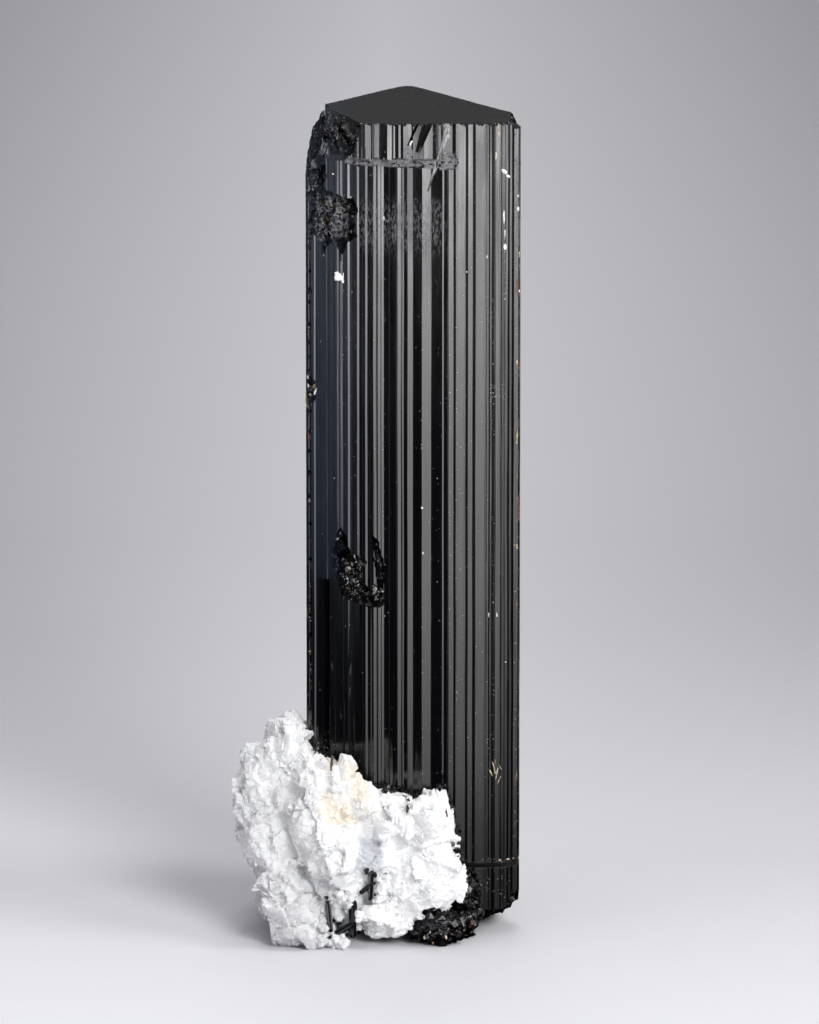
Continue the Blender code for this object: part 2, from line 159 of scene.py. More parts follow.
# The two back faces: corners from the right end of the front, round the rear edge, to its left end
BACK_CORNERS = (
    (14.05, -7.6), (13.3, -4.4), (10.9, -1.4), (1.0, 13.6), (-0.6, 15.2), (-2.2, 14.0),
    (-9.6, 4.2), (-13.1, -0.2), (-14.05, -3.6), (-13.75, -8.64),
)  # fmt: skip
CORNER_CUT = 0.25
BACK_RIB = (0.25, 0.9)
BACK_GROOVE = (0.16, 0.6)
BACK_GROOVE_DEPTH = (0.06, 0.26)
BACK_SEED = 11

# Stones that the broken places are cut with: (centre, half sizes, corners)
TOP_BREAKS = (
    ((-17.4, -6.8, 108.4), (6.9, 9.4, 10.2), 56),
    ((-17.4, 0.6, 109.4), (7.0, 7.0, 7.4), 40),
    ((-14.4, -12.8, 104.6), (5.2, 4.9, 8.6), 46),
    ((-9.6, -13.4, 107.6), (4.6, 2.9, 3.8), 34),
    ((-16.4, -8.6, 97.0), (2.7, 5.0, 7.6), 40),
    ((-10.0, -11.7, 95.8), (3.4, 2.1, 3.7), 44),
    ((-12.4, -11.2, 91.0), (1.8, 1.9, 3.2), 26),
    ((-15.4, -8.8, 86.0), (1.6, 2.4, 5.4), 24),
    ((17.8, -7.4, 111.6), (5.6, 9.6, 10.6), 60),
    ((14.3, -7.6, 109.3), (2.7, 7.0, 2.3), 46),
)
SIDE_BREAKS = (
    ((-14.9, -8.4, 73.4), (1.5, 1.9, 2.6), 24),
    ((-14.7, -8.9, 80.4), (1.0, 1.2, 2.8), 18),
    ((-7.9, -12.4, 50.4), (2.5, 2.1, 4.0), 34),
    ((-5.0, -12.7, 46.4), (1.9, 1.2, 1.8), 22),
    ((-0.6, 16.2, 82.0), (2.2, 1.5, 3.2), 22),
    ((-0.6, 16.2, 34.0), (2.6, 1.5, 5.0), 24),
    ((-9.9, 5.4, 60.0), (1.8, 1.8, 3.4), 22),
    ((7.6, 6.3, 20.4), (2.2, 2.0, 4.4), 24),
)
LOWER_BREAKS = (
    ((15.7, -10.6, 1.6), (4.2, 5.6, 5.0), 50),
    ((15.0, -2.0, 2.0), (3.4, 4.6, 3.4), 26),
    ((9.6, 6.2, 1.8), (4.8, 5.0, 3.6), 28),
    ((2.0, 15.0, 2.2), (6.4, 4.6, 4.6), 30),
    ((-9.0, 8.8, 1.6), (5.6, 5.2, 3.8), 28),
)
# The same by name, with the number of times that each edge is split for the ripples
BROKEN_PLACES = (("top", TOP_BREAKS, 6), ("side", SIDE_BREAKS, 4), ("low", LOWER_BREAKS, 4))
RIPPLE_SIZES = (1.5, 0.45)  # of the broad and the fine ripples on them

# A strip of the front turned to the right: (left, lowest), (right, highest), backs at left and right
PALE_BAND_END = ((-12.85, 23.5), (-10.9, 47.4), (-9.35, -8.5))
WEDGE_FRONT = -14.0

# The crack near the foot: lowest and highest corner, then how far in its side and its front go
LOWER_CRACK = ((6.6, -13.0, 9.15), (15.0, 2.0, 9.75))
LOWER_CRACK_FLOOR = (13.3, -10.9)
CRACK_OVERLAP = 0.3

# The long edges that small chips have broken: (place of the edge, spacing, chip's half size, depth)
CHIPPED_EDGES = (
    ((14.15, -8.8), (1.6, 7.0), (0.20, 0.50), 1.7),
    ((14.1, -5.6), (2.4, 7.0), (0.20, 0.45), 1.6),
    ((13.7, -9.6), (1.8, 6.0), (0.12, 0.30), 0.5),
    ((-14.15, -7.0), (1.6, 6.0), (0.25, 0.50), 1.8),
    ((-13.3, -8.9), (1.2, 3.4), (0.20, 0.50), 0.6),
    ((-0.6, 15.3), (2.0, 5.0), (0.40, 0.90), 0.9),
)
CHIPS_BETWEEN = (11.0, 105.0)
CHIP_SEED = 23
RIM_CHIPS = 22  # along the front of the end face
SEAM_CHIPS = 30  # along the ledge under the growth seam
RIM_CHIP_SIZE = (0.14, 0.38)
# Rows of small chips along the front: (height, the line they follow, from, to, how many)
CHIP_ROWS = (
    (END_HEIGHT, (FRONT_START, FRONT_BANDS), 6.0, 13.4, RIM_CHIPS),
    (END_HEIGHT, (CAP_START, CAP_BANDS), -9.0, 5.2, RIM_CHIPS),
    (SEAM_HEIGHT, (FRONT_START, FRONT_BANDS), -9.4, 5.2, SEAM_CHIPS),
    (9.5, (FRONT_START, FRONT_BANDS), 7.0, 13.6, RIM_CHIPS),
)

# How the picture's pixels lie on a plane through the crystal, in millimetres
PIXEL = 0.13
CRYSTAL_PIXEL = 413.0
FLOOR_PIXEL = 950.0
FLOOR_DEPTH = -20.5
FACE_DEPTH = -11.0
SLOPE = 0.225
RISE = 0.974

# Broken patches on the front: (their outline in pixels, depth, facet size, lean, seed)
FRACTURE_STEP = 0.14
FRACTURE_FRONT = -24.0  # a cutter reaches forward to here
FRACTURE_CLEAR = 0.4  # and stands this far off the face outside its outline
FRACTURES = {
    "upper_pit": (
        ((312, 186), (326, 189), (341, 195), (354, 199), (358, 208), (356, 224), (357, 236),
         (348, 243), (344, 254), (341, 262), (337, 246), (330, 242), (324, 258), (319, 240),
         (310, 232)),
        1.4, 1.3, 0.7, 21,
    ),
    "middle_pit": (
        ((331, 560), (334, 540), (341, 524), (347, 533), (350, 552), (360, 566), (364, 580),
         (374, 586), (384, 588), (385, 602), (366, 603), (352, 600), (342, 596), (339, 584),
         (333, 572)),
        1.2, 1.1, 0.7, 22,
    ),
    "seam_ledge": (
        ((345, 158), (374, 159), (398, 160), (430, 159), (440, 152), (449, 150), (457, 152),
         (459, 162), (452, 168), (440, 167), (431, 165), (406, 166), (382, 165), (362, 166),
         (347, 164)),
        0.18, 0.5, 0.35, 31,
    ),
    "middle_slit": (
        ((372, 530), (378, 536), (385, 560), (384, 590), (378, 586), (374, 560)),
        0.8, 0.9, 0.5, 25,
    ),
    "left_scars": (
        ((303, 384), (310, 372), (318, 384), (316, 398), (310, 416), (303, 424)),
        0.9, 0.9, 0.6, 24,
    ),
}  # fmt: skip

# The broken corner at the top left: its outline, its left edge by height, the depth at that edge,
# its right end, its hollow, the share of its depth by height, and its facet size, lean and seed
CORNER_OUTLINE = [
    (-19.0, 91.4), (-13.0, 92.4), (-12.7, 96.4), (-12.0, 98.8), (-11.2, 100.6), (-11.5, 103.0),
    (-9.9, 104.0), (-8.6, 103.6), (-7.3, 104.3), (-7.5, 105.6), (-6.8, 107.0), (-6.6, 112.0),
    (-19.0, 112.0),
]  # fmt: skip
CORNER_EDGE = ((96.0, -14.3), (101.8, -13.9), (104.5, -13.4), (106.1, -12.5), (108.2, -10.2))
CORNER_BACK = -3.2
CORNER_END = (-7.0, -11.4)
CORNER_HOLLOW = 0.9
CORNER_SHARE = ((97.0, 0.04), (100.0, 0.12), (103.4, 0.26), (105.0, 0.8), (108.2, 1.0))
CORNER_FACETS = (1.3, 0.8, 3)

# Slanting cuts on the front: (across, height, length, width, slant in degrees, depths at each side)
SLASHES = (
    (1.15, 106.6, 4.4, 1.10, 20, 0.06, 0.44),
    (0.20, 107.4, 4.4, 0.50, 23, 0.02, 0.42),
    (1.70, 106.7, 4.8, 0.42, 22, 0.02, 0.34),
    (3.60, 105.0, 6.6, 0.50, 15, 0.14, 0.08),
    (2.60, 101.8, 4.6, 0.42, 18, 0.20, 0.16),
)

RIB_ANGLE = 9  # degrees from which the edge between two faces of the prism is sharp
LEAST_FACES = 1000  # a prism with fewer has lost its cuts

# Painted marks on the front of the crystal: (middle, half width, lowest, highest). The ledge marks are
# partly rubbing and partly a painted highlight where the ledge catches light
LEDGE_SCUFF_AND_HIGHLIGHT = (
    (-2.6, 6.2, 102.6, 103.55),
    (4.6, 1.2, 102.3, 104.3),
    (-0.6, 0.55, 103.4, 104.9),
)
# The dagger is a painted highlight: a slanting grey blade painted into the black where a face shines
DAGGER_HILT = (4.35, 0.36, 106.3, 108.6)
DAGGER_BLADE = (4.2, 106.2, 0.36)  # the place across at its top, its top, and its slant
DAGGER_ROWS = (101.4, 102.4, 106.2, 106.5)
CRACK_FLOOR = (11.4, 4.9, 9.05, 9.85)

# Painted patches: where they begin, are full from, full to, and end, across and in height
RUBBED_PATCH = ((-8.0, -6.0, 2.6, 5.0), (90.0, 94.0, 96.0, 99.5))
# The pit's sparkle is a painted highlight: grey flecks painted into the black
SPARKLING_PIT = ((-12.8, -12.2, -9.6, -8.0), (92.0, 94.0, 97.6, 99.0))
CREAM_PATCH = ((-13.0, -11.5, -5.4, -3.8), (15.4, 16.8, 22.0, 26.0))
GREY_PATCH = ((-8.0, -6.8, -4.4, -3.2), (9.4, 11.0, 13.6, 15.4))

# The lumps fused under the prism: (centre, half sizes, corners)
FOOT_LUMPS = (
    ((2.2, -4.6, 3.6), (6.6, 8.4, 4.7), 30),
    ((3.6, 4.0, 3.6), (5.0, 6.0, 4.1), 20),
    ((-4.0, 3.6, 3.6), (5.0, 5.4, 4.0), 20),
    ((2.8, -15.2, 2.0), (4.2, 4.0, 2.9), 20),
    ((6.9, -13.0, 2.2), (2.2, 2.4, 2.2), 20),
    ((11.0, -8.6, 4.1), (2.5, 2.4, 0.9), 18),
    ((6.4, -12.2, 5.0), (2.9, 2.6, 5.0), 20),
    ((10.4, -9.6, 4.6), (2.6, 2.2, 1.7), 16),
    ((9.0, -3.6, 2.8), (3.4, 5.2, 3.0), 18),
    ((4.4, 6.6, 2.6), (3.6, 4.4, 3.0), 18),
    ((-1.2, 10.6, 2.2), (3.4, 3.2, 2.9), 16),
)

# Lumps melted into the albite, and stones cut out of it: (centre, half sizes, corners)
ALBITE_LUMPS = (
    ((-12.2, -17.6, 1.8), (2.6, 2.0, 1.8), 30),
    ((-10.2, -17.9, 1.1), (1.7, 1.8, 1.1), 24),
    ((-15.9, -6.2, 26.0), (1.7, 2.8, 2.9), 30),
)
ALBITE_CUTS = (
    ((-2.4, -13.4, 20.4), (1.7, 3.2, 1.2), 26),
    ((5.0, -13.6, 19.3), (1.3, 3.4, 2.3), 26),
    ((0.7, -13.4, 20.2), (0.32, 3.0, 1.2), 16),
    ((2.2, -13.4, 20.4), (0.28, 3.0, 1.0), 16),
)

# The small black crystals in the albite: (centre, radius, length, tilt to +X, tilt to +Y)
SMALL_CRYSTALS = {
    "small_tourmaline_left": (
        ((-7.8, -18.45, 3.9), 0.60, 5.0, 2, 3),
        ((-10.9, -18.8, 4.3), 0.40, 4.2, -5, 5),
        ((-9.7, -18.8, 2.2), 0.46, 4.4, 58, 0),
    ),
    "small_tourmaline_centre": (
        ((-5.5, -18.1, 8.3), 0.40, 4.0, 3, 2),
        ((-6.1, -18.2, 8.0), 0.32, 2.2, 48, 0),
    ),
}

# The shape of a small crystal along its length: (share of its length, share of its width)
NEEDLE_STEPS = (
    (-0.5, 0.4), (-0.46, 0.8), (-0.40, 1.0), (0.0, 1.0), (0.40, 1.0), (0.46, 0.8), (0.5, 0.4),
)  # fmt: skip
SMALL_CRYSTAL_RIBS = 7
BROWN_NEEDLE_RIBS = 5
BROWN_NEEDLE_LEAN = 4

# Features placed by the pixel that shows them: (across, down, width, height, turn), sizes in mm
WHITE_FLAKES = (
    (340, 277, 1.9, 1.5, 20), (343, 281, 0.6, 0.9, 60), (337, 274, 1.0, 0.8, -10),
    (503, 171, 0.65, 1.5, 52), (508, 176, 0.4, 0.8, 64), (504, 216, 0.30, 2.0, 2),
    (505, 232, 0.20, 2.0, 0), (505, 247, 0.50, 1.3, 10), (411, 143, 0.35, 1.0, -24),
    (518, 209, 0.40, 0.9, 0), (518, 196, 0.30, 0.4, 30), (316, 391, 0.7, 1.5, -20),
    (309, 386, 0.5, 1.2, 10), (308, 377, 0.35, 0.8, 0), (519, 291, 0.25, 0.5, 0),
    (487, 257, 0.2, 0.5, 0), (467, 272, 0.25, 0.4, 30), (333, 174, 0.45, 0.35, 0),
    (384, 219, 0.28, 1.2, 8), (489, 615, 0.2, 0.8, 0), (497, 615, 0.2, 0.8, 0),
    (506, 662, 0.25, 0.3, 0), (422, 508, 0.35, 0.5, 10), (423, 553, 0.2, 0.5, 0),
)  # fmt: skip
GOLDEN_FLAKES = (
    (315, 388, 1.1, 2.2, -24), (311, 396, 0.7, 2.4, 8), (307, 404, 0.35, 3.2, 0),
    (499, 130, 0.24, 3.2, 3), (496, 156, 0.22, 1.6, 0), (519, 255, 0.3, 1.1, 0),
    (517, 362, 0.25, 1.0, 0), (517, 440, 0.25, 3.4, 0), (517, 546, 0.3, 0.9, 0),
    (508, 859, 0.8, 0.25, 0), (500, 860, 0.6, 0.22, 0), (513, 858, 0.4, 0.25, 0),
)  # fmt: skip
GOLDEN_NEEDLES = (
    (494, 768, 0.22, 2.6, 12), (497, 772, 0.20, 2.4, -10), (491, 773, 0.16, 1.6, 24),
    (499, 780, 0.16, 1.5, -24), (495, 762, 0.14, 1.3, -2), (500, 767, 0.12, 1.1, 30),
)  # fmt: skip
FOOT_GLINTS = (
    (425, 938, 0.5, 0.7, 20), (433, 942, 0.5, 0.6, -20), (446, 937, 0.45, 0.8, 10),
    (430, 932, 0.35, 0.4, 0), (464, 930, 0.3, 0.3, 0), (475, 925, 0.3, 0.3, 0),
)  # fmt: skip

# Dust and glints strewn over parts of the front: (middle, half width, first and last row, count, size).
# The pale specks along the rim, rows 120 to 124, are painted highlight
DUST_AND_RIM_HIGHLIGHTS = (
    (450.5, 1.5, 200, 780, 44, 0.12), (457, 0.8, 200, 760, 30, 0.12),
    (487.5, 0.8, 250, 780, 30, 0.12), (493, 1.0, 300, 780, 50, 0.15),
    (498, 2.5, 120, 200, 14, 0.15), (505, 0.8, 180, 300, 16, 0.16),
    (422, 0.8, 160, 780, 36, 0.13), (384, 1.2, 190, 640, 24, 0.13), (400, 40, 195, 250, 60, 0.13),
    (498, 8, 384, 402, 44, 0.13), (415, 95, 130, 850, 190, 0.11), (420, 45, 104, 118, 16, 0.12),
    (410, 48, 156, 164, 60, 0.15), (430, 70, 120, 124, 46, 0.20), (440, 4, 205, 800, 24, 0.12),
    (350, 8, 280, 520, 24, 0.12), (470, 12, 260, 800, 40, 0.11),
)  # fmt: skip
GLINTS = (
    (334, 20, 196, 238, 70, 0.42), (331, 12, 200, 232, 60, 0.50), (353, 8, 562, 592, 26, 0.55),
    (352, 10, 556, 600, 40, 0.25), (370, 14, 588, 600, 20, 0.50), (324, 14, 104, 132, 50, 0.26),
    (340, 16, 124, 148, 46, 0.26), (312, 6, 132, 200, 46, 0.26), (517, 3, 130, 250, 44, 0.26),
    (517, 3, 250, 860, 80, 0.24), (307, 2.5, 190, 380, 24, 0.22), (308, 3, 420, 745, 44, 0.22),
    (441, 9, 150, 166, 40, 0.24), (446, 4, 122, 138, 12, 0.40), (446, 6, 152, 160, 12, 0.40),
    (434, 76, 121, 124.5, 60, 0.22), (508, 6, 116, 126, 20, 0.30), (440, 6, 124, 152, 24, 0.2),
    (500, 20, 858, 862, 20, 0.22), (495, 24, 866, 904, 40, 0.2), (325, 12, 740, 756, 24, 0.24),
    (380, 6, 215, 230, 8, 0.26),
)  # fmt: skip
SPECK_SEED = 17
FLAKE_CORNERS = 9

WHITE_BLADES = (
    (424, 792, 0.55, 1.5, -8), (433, 794, 0.5, 1.9, 6), (438, 795, 0.45, 2.1, -4),
    (443, 796, 0.45, 1.5, 10), (451, 815, 0.5, 1.4, -10), (345, 758, 0.7, 1.0, 16),
    (316, 756, 0.7, 1.0, -20), (427, 797, 0.6, 1.0, 0), (458, 857, 0.6, 1.3, 24),
)  # fmt: skip
WHITE_LUMPS = (
    (341, 912, 1.3), (347, 903, 1.3), (335, 897, 1.3), (343, 920, 1.0), (363, 915, 1.4),
    (364, 928, 1.3), (321, 915, 1.4), (320, 928, 1.4), (324, 938, 1.3), (342, 936, 0.9),
    (383, 882, 1.1),
)  # fmt: skip
BROWN_NEEDLES = (
    (408, 806, 0.5, 2.0, 4), (405, 799, 0.5, 1.2, -30), (417, 796, 0.6, 1.2, 20),
    (332, 765, 0.45, 2.6, 2), (446, 812, 0.4, 1.4, -12),
)  # fmt: skip
BLACK_CRUST = (
    (455, 845, 0.9), (458, 852, 1.0), (462, 862, 1.1), (466, 858, 0.9), (369, 872, 0.7),
    (373, 877, 0.7), (371, 883, 0.6), (376, 893, 0.5), (368, 888, 0.5), (327, 906, 0.7),
    (329, 914, 0.8), (333, 922, 0.9), (340, 929, 0.8), (347, 937, 0.8), (357, 937, 0.8),
    (328, 899, 0.5), (337, 926, 0.8), (352, 941, 0.7), (360, 931, 0.5),
)  # fmt: skip

GRAIN_REACH = 0.72  # brings a grain's corners to about one metre from its middle
FOOT_VOXEL = 0.4
FOOT_RELIEF = (0.35, 1.1)  # depth and size of its bumps
LUMP_SHARE = 0.96  # the foot's lumps are built this much smaller, and their relief makes up for it

# Parts of the picture where the albite is cut away, all the way through
ALBITE_CLEARED = (
    ((218, 836), (236, 836), (244, 853), (252, 867), (257, 888), (218, 888)),
    ((218, 880), (256, 880), (260, 912), (218, 912)),
    ((218, 906), (259, 906), (285, 946), (285, 980), (218, 980)),
)
CLEARED_DEPTHS = (-24.0, 16.0)
CLEAVAGE_TURN = (0.5, 0.3, 0.4)  # how the albite's cleaved blocks lie, in radians
GRAIN_PATCHES = 3.1  # size of the patches with more and with fewer grains
LEAST_GRAINS = 0.35

# The crust along the line where the albite hides the crystal: (from column, to column, size)
CONTACT_CRUST = (
    (309, 318, 0.45), (318, 338, 0.95), (374, 408, 0.95), (408, 424, 0.55), (440, 466, 0.75),
)
CONTACT_ROWS = (700, 880)
CONTACT_STEP = 0.6  # the albite stands this far before the crystal along that line
CRUST_SEED = 6

# Heaps of little stones: (stones in a heap, corners of one, how far they stray)
CRUST_HEAP = (3, 13, 0.4)
CRUMB_HEAP = (5, 14, 0.6)


def spot(x, y, z):
    """A point given in millimetres about the crystal's own axis, in the frame's metres."""
    return AXIS + Vector((x, y, z)) * MM


def from_axis(place):
    """The frame's metres as millimetres about the crystal's own axis."""
    return (place - AXIS) / MM


class Number:
    """A value inside a node tree. Python's operators on it add the Math nodes."""

    def __init__(self, nodes, socket):
        self.nodes = nodes
        self.socket = socket

    def __add__(self, other):
        return self.nodes.maths("ADD", self, other)

    def __radd__(self, other):
        return self.nodes.maths("ADD", other, self)

    def __sub__(self, other):
        return self.nodes.maths("SUBTRACT", self, other)

    def __rsub__(self, other):
        return self.nodes.maths("SUBTRACT", other, self)

    def __mul__(self, other):
        return self.nodes.maths("MULTIPLY", self, other)

    def __rmul__(self, other):
        return self.nodes.maths("MULTIPLY", other, self)

    def __truediv__(self, other):
        return self.nodes.maths("DIVIDE", self, other)

    def __rpow__(self, other):
        return self.nodes.maths("POWER", other, self)

    def __neg__(self):
        return self.nodes.maths("MULTIPLY", self, -1.0)


class Outputs:
    """The outputs of one node, by name or by number."""

    def __init__(self, nodes, node):
        self.nodes = nodes
        self.node = node

    def __getitem__(self, key):
        return Number(self.nodes, self.node.outputs[key])


class Nodes:
    """Adds nodes to one tree: a node's settings first, then its values and its links."""

    def __init__(self, tree):
        self.tree = tree

    def add(self, kind, settings=(), values=()):
        node = self.tree.nodes.new(kind)
        for name, setting in dict(settings).items():
            if name == "stops":
                self.set_stops(node.color_ramp, setting)
            else:
                setattr(node, name, setting)
        for key, value in dict(values).items():
            if isinstance(value, Number):
                self.tree.links.new(value.socket, node.inputs[key])
            else:
                node.inputs[key].default_value = value
        return Outputs(self, node)

    def set_stops(self, ramp, stops):
        """Gives a colour ramp these stops: (place, colour)."""
        while len(ramp.elements) < len(stops):
            ramp.elements.new(1.0)
        for element, (place, colour) in zip(ramp.elements, stops):
            element.position = place
            element.color = colour

    def maths(self, operation, *values):
        return self.add("ShaderNodeMath", {"operation": operation}, enumerate(values))["Value"]

    def vectors(self, operation, *values):
        settings = {"operation": operation}
        return self.add("ShaderNodeVectorMath", settings, enumerate(values))["Vector"]

    def scaled(self, vector, factor):
        """A vector made longer by one number."""
        values = {0: vector, "Scale": factor}
        return self.add("ShaderNodeVectorMath", {"operation": "SCALE"}, values)["Vector"]

    def parts(self, vector):
        """A vector's three numbers."""
        split = self.add("ShaderNodeSeparateXYZ", {}, {"Vector": vector})
        return split["X"], split["Y"], split["Z"]

    def from_to(self, value, start, end):
        """0 at start, 1 at end, and smooth between them."""
        settings = {"interpolation_type": "SMOOTHSTEP"}
        return self.add("ShaderNodeMapRange", settings, {0: value, 1: start, 2: end})["Result"]

    def within(self, value, begins, full_from, full_to, ends):
        """1 between the two inner values, and 0 outside the outer ones."""
        return self.from_to(value, begins, full_from) * self.from_to(value, ends, full_to)

    def noise(self, vector, sizes, detail=2.0, output="Fac"):
        """Soft noise whose lumps are this many millimetres long in X, Y and Z."""
        stretched = self.vectors("MULTIPLY", vector, [1 / (size * MM) for size in sizes])
        values = {"Vector": stretched, "Scale": 1.0, "Detail": detail}
        return self.add("ShaderNodeTexNoise", {}, values)[output]

    def cells(self, vector, size):
        """How far it is to the nearest of some points this many millimetres apart."""
        values = {"Vector": vector, "Scale": 1 / (size * MM)}
        return self.add("ShaderNodeTexVoronoi", {}, values)["Distance"]

    def blend(self, factor, first, second):
        """The first colour where the factor is 0 and the second where it is 1."""
        return self.add("ShaderNodeMix", {"data_type": "RGBA"}, {0: factor, 6: first, 7: second})[2]

    def bump(self, height, strength=1.0):
        """A normal that shows a relief of this many millimetres."""
        values = {"Strength": strength, "Distance": MM, "Height": height}
        return self.add("ShaderNodeBump", {}, values)["Normal"]

    def moved(self, geometry, offset):
        values = {"Geometry": geometry, "Offset": offset}
        return self.add("GeometryNodeSetPosition", {}, values)["Geometry"]


def look(red, green, blue):
    return (red, green, blue, 1.0)


class TourmalineLook(bpy.types.PropertyGroup):
    colour: bpy.props.FloatVectorProperty(
        name="Colour",
        description="Colour of the black tourmaline, which is almost all gloss",
        subtype="COLOR",
        size=3,
        default=(0.0014, 0.0015, 0.0021),
    )
    # Painted reflection: the blue sheen of the flat faces at the left of the front is painted into their
    # colour
    painted_sheen_colour: bpy.props.FloatVectorProperty(
        name="Painted Blue Sheen",
        description="Colour of the flat bluish faces at the left of the front",
        subtype="COLOR",
        size=3,
        default=(0.004, 0.007, 0.014),
    )
    rust_colour: bpy.props.FloatVectorProperty(
        name="Rust",
        description="Colour of the iron stains on the chipped edges",
        subtype="COLOR",
        size=3,
        default=(0.13, 0.055, 0.018),
    )
    roughness: bpy.props.FloatProperty(
        name="Roughness", description="Roughness of the clean ribs", default=0.11, min=0.0, max=1.0
    )
    wander: bpy.props.FloatProperty(
        name="Wander",
        description="How far the lines stray from their straight course",
        default=0.13 * MM,
        subtype="DISTANCE",
        precision=5,
    )
    row_height: bpy.props.FloatProperty(
        name="Row Height",
        description="Height of one row of faces on the prism",
        default=1.0 * MM,
        subtype="DISTANCE",
        precision=5,
    )
    break_relief: bpy.props.FloatProperty(
        name="Break Relief",
        description="Depth of the ripples on the broken faces",
        default=0.22 * MM,
        subtype="DISTANCE",
        precision=5,
    )


class AlbiteLook(bpy.types.PropertyGroup):
    colour: bpy.props.FloatVectorProperty(
        name="Colour",
        description="Colour of the clean albite",
        subtype="COLOR",
        size=3,
        default=(0.94, 0.94, 0.935),
    )
    cream_colour: bpy.props.FloatVectorProperty(
        name="Cream",
        description="Colour of the warm patches",
        subtype="COLOR",
        size=3,
        default=(0.87, 0.77, 0.64),
    )
    voxel: bpy.props.FloatProperty(
        name="Mesh Size",
        description="Size of the faces that the stone is rebuilt from",
        default=0.25 * MM,
        subtype="DISTANCE",
        precision=5,
    )
    block_lean: bpy.props.FloatProperty(
        name="Block Lean",
        description="How steeply the small broken faces lean",
        default=0.75,
        min=0.0,
    )
    grain_size: bpy.props.FloatProperty(
        name="Grain Size",
        description="Radius of the largest sugary grains",
        default=0.42 * MM,
        subtype="DISTANCE",
        precision=5,
    )
    grain_spacing: bpy.props.FloatProperty(
        name="Grain Spacing",
        description="Least distance between two grains",
        default=0.42 * MM,
        subtype="DISTANCE",
        precision=5,
    )


class StudioLook(bpy.types.PropertyGroup):
    key_power: bpy.props.FloatProperty(
        name="Key Light", description="Power of the light at the right", default=1.7, unit="POWER"
    )
    front_power: bpy.props.FloatProperty(
        name="Front Light", description="Power of the light over the camera", default=6.4, unit="POWER"
    )
    fill_power: bpy.props.FloatProperty(
        name="Fill Light", description="Power of the light at the left", default=0.3, unit="POWER"
    )
    top_power: bpy.props.FloatProperty(
        name="Top Light", description="Power of the light overhead", default=1.5, unit="POWER"
    )
    back_power: bpy.props.FloatProperty(
        name="Back Light", description="Power of the light over the far floor", default=1.5, unit="POWER"
    )
    card_strength: bpy.props.FloatProperty(
        name="Card Strength",
        description="Brightness of the card that the front ribs reflect, at the standing surface",
        default=3.1,
    )


def new_object(name, mesh, material=None):
    obj = bpy.data.objects.new(name, mesh)
    bpy.context.scene.collection.objects.link(obj)
    if material is not None:
        mesh.materials.clear()
        mesh.materials.append(material)
    return obj


def mesh_from(name, bm):
    mesh = bpy.data.meshes.new(name)
    bm.to_mesh(mesh)
    bm.free()
    return mesh


def closed_object(name, bm, material=None):
    """An object whose faces all look outwards."""
    bmesh.ops.recalc_face_normals(bm, faces=bm.faces[:])
    return new_object(name, mesh_from(name, bm), material)


def settled(obj):
    """Leaves the object as a plain mesh with what its modifiers made."""
    graph = bpy.context.evaluated_depsgraph_get()
    made = bpy.data.meshes.new_from_object(obj.evaluated_get(graph))
    obj.modifiers.clear()
    obj.data = made
    return obj


def keep_inside(obj):
    """Presses whatever sticks out of the solids' box back to its walls."""
    places = np.empty(len(obj.data.vertices) * 3, dtype=np.float32)
    obj.data.vertices.foreach_get("co", places)
    places = np.clip(places.reshape(-1, 3), CAD_LOW, CAD_HIGH)
    obj.data.vertices.foreach_set("co", places.astype(np.float32).ravel())
    obj.data.update()


def finish_piece(obj, slot, *stands_for):
    """Hangs a finished piece on the specimen and hides the solid it stands for; its slot is not used."""
    keep_inside(obj)
    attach(obj, "root")
    if stands_for:
        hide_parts(*stands_for)


def geometry_tree(name, inputs):
    """A Geometry Nodes tree with these inputs, (name, type, default), and its Nodes and group input."""
    tree = bpy.data.node_groups.new(name, "GeometryNodeTree")
    tree.interface.new_socket("Geometry", in_out="INPUT", socket_type="NodeSocketGeometry")
    for label, kind, default in inputs:
        socket = tree.interface.new_socket(label, in_out="INPUT", socket_type=f"NodeSocket{kind}")
        if default is not None:
            socket.default_value = default
    tree.interface.new_socket("Geometry", in_out="OUTPUT", socket_type="NodeSocketGeometry")
    nodes = Nodes(tree)
    return tree, nodes, nodes.add("NodeGroupInput")


def finish_tree(nodes, geometry, given):
    """Every tree ends in real faces with their material."""
    real = nodes.add("GeometryNodeRealizeInstances", {}, {"Geometry": geometry})["Geometry"]
    values = {"Geometry": real, "Material": given["Material"]}
    dressed = nodes.add("GeometryNodeSetMaterial", {}, values)["Geometry"]
    nodes.add("NodeGroupOutput", {}, {"Geometry": dressed})


def run_tree(obj, tree, values):
    """Puts the tree on the object with these inputs, and keeps what it makes as a plain mesh."""
    modifier = obj.modifiers.new(tree.name, "NODES")
    modifier.node_group = tree
    for item in tree.interface.items_tree:
        if item.in_out == "INPUT" and item.name in values:
            modifier[item.identifier] = values[item.name]
    return settled(obj)


def material_named(name, paint):
    """A material whose Principled shader gets what the paint function works out, made once."""
    ready = bpy.data.materials.get(name)
    if ready is not None:
        return ready
    material = bpy.data.materials.new(name)
    material.use_nodes = True
    material.node_tree.nodes.clear()
    nodes = Nodes(material.node_tree)
    shader = nodes.add("ShaderNodeBsdfPrincipled", {}, paint(nodes))
    nodes.add("ShaderNodeOutputMaterial", {}, {"Surface": shader["BSDF"]})
    return material


def axis_place(nodes):
    """The place on the object as millimetres about the crystal's axis, and as a vector in metres."""
    place = nodes.add("ShaderNodeTexCoord")["Object"]
    moved = nodes.vectors("SUBTRACT", place, AXIS)
    x, y, z = nodes.parts(moved)
    return moved, x / MM, y / MM, z / MM


def patch(nodes, x, z, limits):
    """A soft rectangle that covers these places across and in height."""
    columns, rows = limits
    return nodes.within(x, *columns) * nodes.within(z, *rows)


